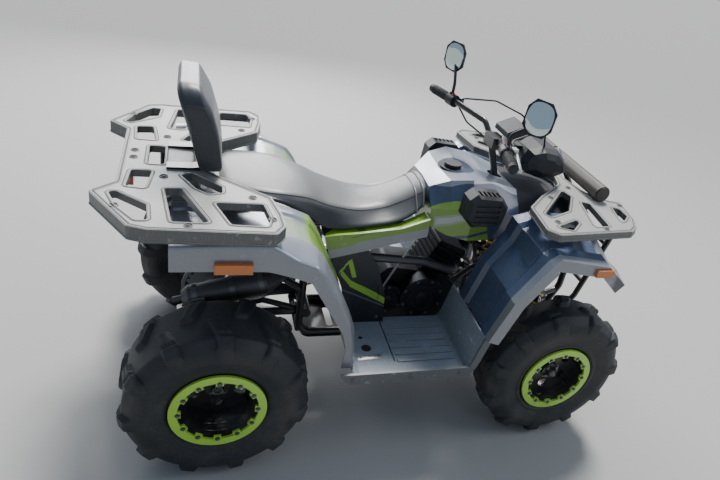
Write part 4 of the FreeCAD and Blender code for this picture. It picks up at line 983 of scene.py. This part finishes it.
class QUAD_OT_backrest(bpy.types.Operator):
    """Padded backrest with rounded edges and welts"""
    bl_idname = "quad.backrest"
    bl_label = "Backrest"

    def execute(self, context):
        shape = Shape()
        profile = []
        for (x0, z0), (x1, z1) in zip(BACKREST, BACKREST[1:] + BACKREST[:1]):
            profile += [(x0, 0, z0), ((x0 + x1) / 2, 0, (z0 + z1) / 2)]
        profile = softened(profile, 3)
        middle = sum(profile, Vector()) / len(profile)
        half = 0.153
        edge = 0.026
        flat = half - edge
        round_top = 0.058
        shoulder_height = 0.115
        shoulder = max(p.z for p in profile) - shoulder_height
        lean = 0.34
        steps = 9
        outer = [flat + edge * math.sin(math.pi / 2 * (k + 1) / steps) for k in range(steps)]
        places = [-y for y in outer[::-1]] + [-flat + 2 * flat * k / 32 for k in range(33)] + outer
        rows = []
        for y in places:
            over = max(0.0, abs(y) - flat) / edge
            pull = 0.02 * (1 - math.sqrt(max(0.0, 1 - over * over)))
            swell = 0.007 * (1 - (y / half) ** 2)
            corner = max(0.0, abs(y) - (half - round_top)) / round_top
            drop = round_top / shoulder_height * (1 - math.sqrt(max(0.0, 1 - corner * corner)))
            row = []
            for p in profile:
                q = p - (p - middle).normalized() * pull
                lift = swell * smoothstep(0.89, 0.96, p.z) * (1 - smoothstep(1.05, 1.11, p.z))
                # the front swells forwards, and the back rearwards by less
                q.x += lift if p.x > middle.x + (middle.z - p.z) * 0.2 else -0.4 * lift
                down = max(0.0, q.z - shoulder) * drop
                row.append(Vector((q.x + down * lean, y, q.z - down)))
            rows.append(row)
        shape.rows(rows, closed=True, capped=True)
        for seam in (rows[2], rows[-3]):
            sweep(shape, seam, sizes().welt * 0.4, 6, looped=True)
        made = shape.piece("backrest_pad", "chassis", ["vinyl"], crease=70)
        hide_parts("backrest")
        return {"FINISHED"}


# ---- rear mudguards ----
# nine lines of the left guard, from its inner edge to the hem of its skirt: offset across, and (x, z)
# at twelve stations from the tail to the foot
GUARD_LINES = (
    (0.178, ((-0.725, 0.778), (-0.6, 0.786), (-0.47, 0.784), (-0.425, 0.78), (-0.377, 0.768),
             (-0.33, 0.748), (-0.306, 0.716), (-0.279, 0.661), (-0.25, 0.597), (-0.219, 0.533),
             (-0.201, 0.466), (-0.19, 0.3453))),
    (0.178, ((-0.725, 0.794), (-0.6, 0.803), (-0.47, 0.801), (-0.425, 0.797), (-0.375, 0.785),
             (-0.325, 0.764), (-0.297, 0.725), (-0.268, 0.668), (-0.236, 0.604), (-0.205, 0.54),
             (-0.186, 0.47), (-0.173, 0.3453))),
    (0.214, ((-0.725, 0.793), (-0.6, 0.802), (-0.47, 0.799), (-0.425, 0.795), (-0.376, 0.782),
             (-0.327, 0.76), (-0.299, 0.721), (-0.27, 0.665), (-0.239, 0.602), (-0.207, 0.539),
             (-0.187, 0.47), (-0.174, 0.3453))),
    (0.227, ((-0.725, 0.783), (-0.6, 0.791), (-0.47, 0.788), (-0.425, 0.784), (-0.38, 0.771),
             (-0.334, 0.75), (-0.308, 0.714), (-0.279, 0.659), (-0.248, 0.597), (-0.216, 0.535),
             (-0.196, 0.468), (-0.181, 0.3453))),
    (0.352, ((-0.725, 0.788), (-0.6, 0.796), (-0.47, 0.79), (-0.425, 0.783), (-0.378, 0.769),
             (-0.335, 0.75), (-0.311, 0.722), (-0.282, 0.682), (-0.25, 0.624), (-0.215, 0.546),
             (-0.189, 0.476), (-0.181, 0.3453))),
    (0.37, ((-0.725, 0.801), (-0.6, 0.809), (-0.47, 0.806), (-0.428, 0.799), (-0.38, 0.783),
            (-0.331, 0.764), (-0.302, 0.731), (-0.269, 0.672), (-0.236, 0.604), (-0.197, 0.522),
            (-0.17, 0.455), (-0.17, 0.3453))),
    (0.438, ((-0.725, 0.799), (-0.6, 0.807), (-0.47, 0.81), (-0.43, 0.788), (-0.386, 0.759),
             (-0.331, 0.737), (-0.307, 0.708), (-0.277, 0.657), (-0.243, 0.604), (-0.203, 0.519),
             (-0.184, 0.441), (-0.172, 0.3453))),
    (0.446, ((-0.725, 0.791), (-0.6, 0.799), (-0.472, 0.801), (-0.437, 0.781), (-0.39, 0.752),
             (-0.335, 0.729), (-0.314, 0.702), (-0.284, 0.652), (-0.25, 0.599), (-0.21, 0.515),
             (-0.191, 0.438), (-0.179, 0.3453))),
    (0.446, ((-0.725, 0.722), (-0.6, 0.723), (-0.47, 0.722), (-0.425, 0.709), (-0.385, 0.696),
             (-0.345, 0.681), (-0.327, 0.65), (-0.29, 0.588), (-0.258, 0.536), (-0.226, 0.48),
             (-0.211, 0.425), (-0.216, 0.3453))),
)


def turned_corners(points, share):
    """Points of an open line with each corner turned over a share of its two runs."""
    out = [points[0]]
    for back, here, ahead in zip(points, points[1:], points[2:]):
        a = here.lerp(back, share)
        out.append(out[-1].lerp(a, 0.5))
        out += bend(a, here, here.lerp(ahead, share), (0.0, 0.33, 0.67, 1.0))
    return out + [out[-1].lerp(points[-1], 0.5), points[-1]]


def sheet_between(shape, lines, thickness, along, across):
    """Pressed sheet through lines of points, its folds turned, with its true thickness."""
    grid = [turned_corners([Vector(p) for p in line], along) for line in lines]
    grid = [turned_corners(list(row), across) for row in zip(*grid)]
    tall = len(grid) - 1
    wide = len(grid[0]) - 1
    rows = []
    for i, row in enumerate(grid):
        under = []
        for j, point in enumerate(row):
            run = grid[min(i + 1, tall)][j] - grid[max(i - 1, 0)][j]
            over = row[min(j + 1, wide)] - row[max(j - 1, 0)]
            under.append(point + over.cross(run).normalized() * thickness)
        rows.append(row + under[::-1])
    shape.rows(rows, closed=True, capped=True)


class QUAD_OT_rear_guards(bpy.types.Operator):
    """Rear mudguards with their ridge, channel, outer band and skirt, and the deck between them"""
    bl_idname = "quad.rear_guards"
    bl_label = "Rear mudguards"

    def execute(self, context):
        shape = Shape()
        lines = [[(x, y, z) for x, z in line] for y, line in GUARD_LINES]
        sheet_between(shape, lines, 0.003, 0.16, 0.2)
        shape.mirrored()
        (x0, z0), (x1, z1) = GUARD_LINES[1][1][:2]
        # side sections (x, z) of the deck and of the tail strip, and half the width of each
        for section, half in ((((x0, z0), (x1, z1), (x1, z1 - 0.003), (x0, z0 - 0.003)), 0.178),
                              (((x0, 0.75), (x0, z0), (x0 + 0.006, z0), (x0 + 0.006, 0.75)), 0.438)):
            shape.rows([[(x, y, z) for x, z in section] for y in (-half, half)], closed=True, capped=True)
        made = shape.piece("rear_mudguards", "chassis", ["rear_guard"], crease=32)
        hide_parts("rear_fenders")
        return {"FINISHED"}


# ---- racks ----
# outline of the left half (x, y) of each rack and of its openings
REAR_WING = (
    (-0.866, 0), (-0.866, 0.195), (-0.925, 0.257), (-0.82, 0.441), (-0.775, 0.458), (-0.458, 0.47),
    (-0.43, 0.425), (-0.433, 0.357), (-0.453, 0.255), (-0.484, 0.226), (-0.57, 0.15), (-0.628, 0.092),
    (-0.654, 0.05), (-0.654, 0))
REAR_OPENINGS = (
    ((-0.876, 0.261), (-0.86, 0.253), (-0.78, 0.327), (-0.774, 0.408), (-0.801, 0.409), (-0.852, 0.333)),
    ((-0.741, 0.228), (-0.697, 0.223), (-0.626, 0.415), (-0.718, 0.415)),
    ((-0.611, 0.301), (-0.48, 0.301), (-0.468, 0.383), (-0.48, 0.428), (-0.572, 0.422)),
    ((-0.832, 0.116), (-0.777, 0.115), (-0.79, 0.23), (-0.839, 0.221)),
    ((-0.7, 0.134), (-0.67, 0.118), (-0.588, 0.2), (-0.588, 0.238), (-0.625, 0.25), (-0.66, 0.216)),
)
REAR_CENTRE = ((-0.793, -0.068), (-0.747, -0.068), (-0.747, 0.068), (-0.793, 0.068))
FRONT_WING = (
    (0.702, 0), (0.722, 0.106), (0.752, 0.163), (0.8, 0.187), (0.844, 0.198), (0.816, 0.33), (0.784, 0.389),
    (0.744, 0.421), (0.43, 0.461), (0.394, 0.428), (0.414, 0.266), (0.506, 0.173), (0.64, 0.06), (0.66, 0))
FRONT_OPENINGS = (
    ((0.626, 0.117), (0.637, 0.167), (0.56, 0.285), (0.458, 0.337), (0.448, 0.312)),
    ((0.445, 0.404), (0.556, 0.349), (0.548, 0.375), (0.496, 0.425)),
    ((0.656, 0.209), (0.688, 0.22), (0.666, 0.387), (0.604, 0.396)),
    ((0.775, 0.241), (0.8, 0.253), (0.798, 0.308), (0.739, 0.364)),
)
REAR_SCREWS = (
    (-0.857, 0.335), (-0.678, 0.433), (-0.463, 0.389), (-0.507, 0.262), (-0.832, 0.026), (-0.745, 0.15))
FRONT_SCREWS = ((0.668, 0.091), (0.539, 0.187), (0.64, 0.41), (0.466, 0.37), (0.821, 0.224))


def anticlockwise(points):
    area = sum(a[0] * b[1] - b[0] * a[1] for a, b in zip(points, points[1:] + points[:1]))
    return points if area > 0 else points[::-1]


def flat_strip(shape, line, width, height, z, finish=0):
    """Low raised strip with sloping sides along a closed flat outline."""
    rows = []
    for step, level in ((0.0, z), (height, z + height), (width - height, z + height), (width, z)):
        rows.append([(p.x, p.y, level) for p in inset(line, step)])
    shape.rows(rows, closed=True, finish=finish)


def rack_beads(shape, half, openings, top, depth, screws):
    """Raised beads and dark grooves round a rack's edge and openings, and its recessed screws."""
    bead = sizes().bead
    groove = 0.0004
    margin = 0.0012
    outline = anticlockwise([Vector(p) for p in list(half) + [(x, -y) for x, y in half[::-1] if y > 0]])
    edge = fillet(outline, 0.014)
    flat_strip(shape, inset(edge, margin), 2.6 * bead, bead * 0.8, top)
    flat_strip(shape, inset(edge, margin + 2.7 * bead), 1.5 * bead, groove, top, 1)
    flat_strip(shape, inset(edge, margin + 4.3 * bead), 1.8 * bead, bead * 0.5, top)
    lip = [(p.x, p.y, top - depth + 0.004) for p in inset(edge, -0.0002)]
    sweep(shape, lip, 0.0022, 8, looped=True)
    for hole in openings:
        hole = fillet(anticlockwise([Vector(p) for p in hole]), 0.009)
        flat_strip(shape, inset(hole, -2.9 * bead), 2.5 * bead, bead * 0.75, top)
        flat_strip(shape, inset(hole, -4.2 * bead), 1.2 * bead, groove, top, 1)
    rim = [(-0.002, 0.0125), (0.0016, 0.0122), (0.0026, 0.0108), (0.0018, 0.0098), (-0.001, 0.0095)]
    for x, y in screws:
        for _, s in SIDES:
            place = (x, s * y, top)
            lathe(shape, place, UP, rim, 24, 0, capped=False)
            lathe(shape, place, UP, [(-0.003, 0.0096), (groove, 0.0094)], 24, 1)
            hex_head(shape, (x, s * y, top + 0.0002), UP, 0.0044, 0.0024, 1)


def both_sides(outlines):
    """The left half's outlines and their mirror images."""
    return list(outlines) + [[(x, -y) for x, y in outline] for outline in outlines]


class QUAD_OT_racks(bpy.types.Operator):
    """Beads and screws of the load racks"""
    bl_idname = "quad.racks"
    bl_label = "Rack beads"

    def execute(self, context):
        looks = ("rack", "rack_groove")
        rear = Shape()
        openings = both_sides(REAR_OPENINGS) + [REAR_CENTRE]
        rack_beads(rear, REAR_WING, openings, REAR_RACK_TOP, 0.04, REAR_SCREWS)
        rear.piece("rear_rack_beads", "chassis", looks)
        front = Shape()
        rack_beads(front, FRONT_WING, both_sides(FRONT_OPENINGS), FRONT_RACK_TOP, 0.026, FRONT_SCREWS)
        front.piece("front_rack_beads", "chassis", looks)
        return {"FINISHED"}


# ---- controls ----
def bar_middle():
    """Place along the bike of the handlebar's middle."""
    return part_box("handlebar")[1].x - 0.03


class QUAD_OT_controls(bpy.types.Operator):
    """Mirror glasses, switches, bar ends and grip ribs"""
    bl_idname = "quad.controls"
    bl_label = "Controls"

    def execute(self, context):
        shape = Shape()
        x0 = bar_middle()
        # the bar's outer run, from the bend to its end
        start = Vector((x0 - 0.071, 0.225, 1.056))
        run = Vector((x0 - 0.116, 0.385, 1.056)) - start
        length = run.length
        run.normalize()
        rib = [(0, 0.0171), (0.0008, 0.0186), (0.0032, 0.0186), (0.004, 0.0171)]
        for i in range(15):
            lathe(shape, start + run * (0.064 + i * 0.0062), run, rib, 24, 1, capped=False)
        lathe(shape, start + run * (length - 0.001), run, [(0, 0.016), (0.008, 0.016), (0.01, 0.013)], 24, 0)
        up = Vector((-0.25, -0.05, 1)).normalized()
        # place along the run, radius and finish of each button
        for at, size, finish in ((0.024, 0.0065, 2), (0.038, 0.0055, 0), (0.047, 0.004, 3)):
            button = [(-0.002, size + 0.0015), (0.001, size + 0.0015), (0.001, size), (0.005, size * 0.9)]
            lathe(shape, start + run * at + up * 0.0235, up, button, 16, finish)
        shape.mirrored()
        looks = ("black_plastic", "grip_rubber", "red_lens", "piping")
        shape.piece("handlebar_small_parts", "steering", looks)
        # side of the bike, place of the glass, direction that it faces
        for name, centre, facing in (("left", (x0 - 0.076, 0.34, 1.2), (-0.9, -0.43, 0.05)),
                                     ("right", (x0 - 0.046, -0.334, 1.2), (-0.81, -0.56, 0.17))):
            glass = Shape()
            mirror_glass(glass, Vector(centre), Vector(facing).normalized())
            glass.piece("mirror_glass_" + name, "steering", ["mirror_glass"])
        return {"FINISHED"}


# outline of a mirror's glass, across and up from its centre
MIRROR_OUTLINE = (
    (-0.05, -0.024), (-0.03, -0.052), (0.022, -0.056), (0.05, -0.03), (0.05, 0.028), (0.028, 0.056),
    (-0.026, 0.056), (-0.05, 0.03))


def mirror_glass(shape, centre, facing):
    """Slightly domed glass, upright and square to the way it faces."""
    side = Vector((-facing.y, facing.x, 0)).normalized()
    if facing.y < -0.5:
        side = -side
    up = side.cross(facing)
    if up.z < 0:
        up = -up
    outline = softened([(a, b, 0) for a, b in MIRROR_OUTLINE], 2)
    rows = []
    for share, depth in ((0.9, -0.0024), (0.9, -0.0006), (0.86, 0.0002), (0.5, 0.0009), (0.02, 0.0013)):
        rows.append([centre + side * (p.x * share) + up * (p.y * share) + facing * depth for p in outline])
    shape.rows(rows, closed=True, capped=True)


# ---- engine and body fittings ----
class QUAD_OT_engine_fixings(bpy.types.Operator):
    """Cover bolts, starter ring, gear rod and exhaust bands"""
    bl_idname = "quad.engine_fixings"
    bl_label = "Engine fixings"

    def execute(self, context):
        shape = Shape()
        # centre (x, z), face, side, bolt circle, bolts of each round cover
        for x, z, face, side, circle_r, bolts in (
                (0.15, 0.398, 0.14, -1, 0.077, 8), (0.02, 0.38, 0.12, -1, 0.054, 6),
                (0.11, 0.39, 0.118, 1, 0.069, 7)):
            out = (0, side, 0)
            centre = (x, side * face, z)
            for i in range(bolts):
                foot = upright(centre, circle_r, math.tau * (i + 0.5) / bolts)
                hex_head(shape, foot, out, 0.0045, 0.005, 1)
            # height and share of the bolt circle
            steps = ((0.0, 0.8), (0.004, 0.78), (0.004, 0.7), (0.0015, 0.68), (0.0015, 0.4), (0.008, 0.36),
                     (0.01, 0.3))
            rings = [(height, circle_r * share) for height, share in steps] + [(0.01, 0.001)]
            lathe(shape, centre, out, rings, 48, 0)
            well = (x, side * (face + 0.0015), z)
            for i in range(10):
                spoke = [upright(well, circle_r * share, math.tau * i / 10) for share in (0.42, 0.67)]
                sweep(shape, spoke, 0.0016, 6)
        low = Vector((-0.008, -0.119, 0.432))
        high = Vector((0.064, -0.1665, 0.686))
        sweep(shape, [low, low.lerp(high, 0.5), high], 0.0042, 12, finish=2)
        eye = [(-0.006, 0.003), (-0.006, 0.009), (0.004, 0.009), (0.004, 0.003)]
        for point in (low, high):
            lathe(shape, point, ALONG_Y, eye, 20, 1)
        shape.piece("engine_fixings", "chassis", ("engine", "dark_zinc", "aluminium"))
        bands = Shape()
        run = Vector((-0.3, 0, -0.079)).normalized()
        up = Vector((run.z, 0, -run.x))
        start = Vector((-0.4, -0.232, 0.556))
        band_width = 0.016
        can_r = 0.0402
        for at in (0.062, 0.15, 0.262):
            near = at - band_width / 2
            far = at + band_width / 2
            profile = [(near, can_r), (near, can_r + 0.002), (far, can_r + 0.002), (far, can_r)]
            lathe(bands, start, run, profile, 40, 0, capped=False)
            hex_head(bands, start + run * at + up * 0.042, up, 0.0045, 0.006, 0)
        bands.piece("exhaust_bands", "chassis", ["dark_zinc"])
        return {"FINISHED"}


NOSE_FACE = 0.7665


def lamp_insert(shape, low, high, depth):
    """Reflector and ribbed lens that fill a rectangular opening (y, z) in the nose."""
    y0, z0 = low
    y1, z1 = high
    outline = fillet([(y0, z0), (y1, z0), (y1, z1), (y0, z1)], 0.008)

    def rows(steps):
        return [[(NOSE_FACE + dx, p.x, p.y) for p in inset(outline, step)] for dx, step in steps]

    bowl = rows(((-depth, 0.02), (-depth * 0.5, 0.008), (-0.004, 0.0005), (0.0, 0.0005)))
    shape.rows(bowl, closed=True, finish=1)
    shape.add(bowl[0], [tuple(range(len(bowl[0])))], 1)
    glass = rows(((-0.003, 0.0004), (0.0006, 0.0004), (0.0022, 0.003), (0.003, 0.01), (0.0033, 0.018)))
    shape.rows(glass, closed=True, capped=True)


class QUAD_OT_body_fixings(bpy.types.Operator):
    """Nose lamps, headlight rim, panel screws and the heel strips"""
    bl_idname = "quad.body_fixings"
    bl_label = "Body fixings"

    def execute(self, context):
        lamps = Shape()
        lamp_insert(lamps, (0.0585, 0.7165), (0.1415, 0.7695), 0.03)
        lamps.mirrored()
        lamps.piece("nose_lamps", "chassis", ("clear_lens", "chrome"))
        headlight = Shape()
        mouth = (bar_middle() + 0.2865, 0, 0.946)
        rim = [(-0.004, 0.0462), (0.001, 0.0462), (0.0028, 0.0485), (0.001, 0.0505), (-0.004, 0.0505)]
        lathe(headlight, mouth, ALONG_X, rim, 48, 0, capped=False)
        bowl = [(-0.0215, 0.0455), (-0.02, 0.04), (-0.019, 0.012), (-0.017, 0.001)]
        lathe(headlight, mouth, ALONG_X, bowl, 40, 0)
        headlight.piece("headlight_rim", "steering", ["chrome"])
        fittings = Shape()
        washer = [(-0.001, 0.0085), (0.0015, 0.0085), (0.0025, 0.007)]
        for x, y, z in ((-0.18, 0.48, 0.322), (0.02, 0.48, 0.322), (0.2, 0.48, 0.322),
                        (-0.13, 0.176, 0.34), (-0.03, 0.176, 0.34)):
            lathe(fittings, (x, y, z), ALONG_Y, washer, 20, 0)
            hex_head(fittings, (x, y + 0.002, z), ALONG_Y, 0.0038, 0.0025, 0)
        # metal strip at the heel of each foot well, and its two screws
        outline = fillet(((-0.143, 0.362), (-0.054, 0.357), (-0.054, 0.38), (-0.143, 0.386)), 0.004)
        strip = [[(p.x, p.y, z) for p in inset(outline, step)]
                 for z, step in ((0.3178, 0.0), (0.3196, 0.0), (0.3202, 0.0008))]
        fittings.rows(strip, closed=True, capped=True, finish=1)
        for place in ((-0.13, 0.3735, 0.3196), (-0.066, 0.369, 0.3196)):
            hex_head(fittings, place, UP, 0.0032, 0.0022, 0)
        # two dark drain inlays, and a flush plug of the floor's own finish
        for place, profile, sides, finish in (
                ((-0.099, 0.323, 0.3178), ((0, 0.0175), (0.0012, 0.0175), (0.0014, 0.0155)), 28, 2),
                ((-0.095, 0.267, 0.3175),
                 ((-0.004, 0.0178), (0.0006, 0.0195), (0.0009, 0.0185), (0.0009, 0.0001)), 28, 3),
                ((-0.108, 0.266, 0.3178), ((0, 0.0075), (0.0012, 0.0075), (0.0014, 0.006)), 20, 2)):
            lathe(fittings, place, UP, profile, sides, finish)
        sweep(fittings, [(-0.014, y, 0.3172) for y in (0.172, 0.28, 0.398)], 0.0026, 6, finish=2)
        fittings.mirrored()
        looks = ("dark_zinc", "aluminium", "grip_rubber", "floor_pan_painted_sky_light")
        fittings.piece("panel_screws", "chassis", looks)
        return {"FINISHED"}


# ---- stage ----
class QUAD_OT_stage(bpy.types.Operator):
    """Pale floor, soft light and the camera"""
    bl_idname = "quad.stage"
    bl_label = "Stage"

    def execute(self, context):
        scene = context.scene
        mesh = bpy.data.meshes.new("floor")
        far = 40.0
        mesh.from_pydata([(-far, -far, 0), (far, -far, 0), (far, far, 0), (-far, far, 0)], [], [(0, 1, 2, 3)])
        floor = bpy.data.objects.new("floor", mesh)
        scene.collection.objects.link(floor)
        material("floor_pale", (0.37, 0.37, 0.365), 0.85)
        mesh.materials.append(finishes["floor_pale"])
        world = bpy.data.worlds.new("studio")
        world.use_nodes = True
        background = world.node_tree.nodes["Background"]
        background.inputs["Color"].default_value = (0.66, 0.8, 1.0, 1.0)
        background.inputs["Strength"].default_value = 0.45
        scene.world = world
        sun = bpy.data.lights.new("sun", "SUN")
        sun.angle = 0.3
        sun.energy = 5.2
        sun.color = (1.0, 0.97, 0.92)
        lamps = [(sun, (1.2, 2.4, 4.6))]
        for name, place, size, power in (
                ("softbox", (-0.3, 3.6, 2.5), 2.6, 170.0), ("rim", (3.6, -1.5, 2.8), 2.0, 35.0)):
            light = bpy.data.lights.new(name, "AREA")
            light.shape = "DISK"
            light.size = size
            light.energy = power
            lamps.append((light, place))
        bike_middle = Vector((0, 0, 0.6))
        for light, place in lamps:
            lamp = bpy.data.objects.new(light.name, light)
            lamp.location = place
            lamp.rotation_mode = "QUATERNION"
            lamp.rotation_quaternion = (bike_middle - Vector(place)).to_track_quat("-Z", "Y")
            scene.collection.objects.link(lamp)
        camera = bpy.data.cameras.new("camera")
        camera.sensor_width = 36.0
        camera.lens = 30.007
        camera.shift_x = -0.1059
        camera.shift_y = 0.0184
        camera.clip_start = 0.05
        viewer = bpy.data.objects.new("camera", camera)
        # the picture's own right and up
        right = Vector((0.92531421, -0.31636208, 0.20906614))
        up = Vector((-0.00937254, 0.53208387, 0.84663978))
        stand = Matrix((right, up, right.cross(up))).transposed().to_4x4()
        stand.translation = (-0.672, -1.875, 1.68)
        viewer.matrix_world = stand
        scene.collection.objects.link(viewer)
        scene.camera = viewer
        return {"FINISHED"}


class QUAD_PT_panel(bpy.types.Panel):
    """Sizes, colours and the steps that build the quad bike"""
    bl_idname = "QUAD_PT_panel"
    bl_label = "Quad Bike"
    bl_space_type = "VIEW_3D"
    bl_region_type = "UI"
    bl_category = "Quad Bike"

    def draw(self, context):
        for group in (context.scene.quad_colours, context.scene.quad_sizes):
            box = self.layout.box()
            for key in group.__annotations__:
                box.prop(group, key)
        for operator in OPERATORS:
            self.layout.operator(operator.bl_idname)


OPERATORS = (
    QUAD_OT_finishes, QUAD_OT_tyres, QUAD_OT_wheel_trim, QUAD_OT_springs, QUAD_OT_seat, QUAD_OT_backrest,
    QUAD_OT_rear_guards, QUAD_OT_racks, QUAD_OT_controls, QUAD_OT_engine_fixings, QUAD_OT_body_fixings,
    QUAD_OT_stage)
CLASSES = (QuadColours, QuadSizes) + OPERATORS + (QUAD_PT_panel,)


def register():
    for cls in CLASSES:
        bpy.utils.register_class(cls)
    bpy.types.Scene.quad_colours = bpy.props.PointerProperty(type=QuadColours)
    bpy.types.Scene.quad_sizes = bpy.props.PointerProperty(type=QuadSizes)


def unregister():
    del bpy.types.Scene.quad_sizes
    del bpy.types.Scene.quad_colours
    for cls in reversed(CLASSES):
        bpy.utils.unregister_class(cls)


def main():
    register()
    for operator in OPERATORS:
        group, name = operator.bl_idname.split(".")
        getattr(getattr(bpy.ops, group), name)()


if __name__ == "__main__":
    main()
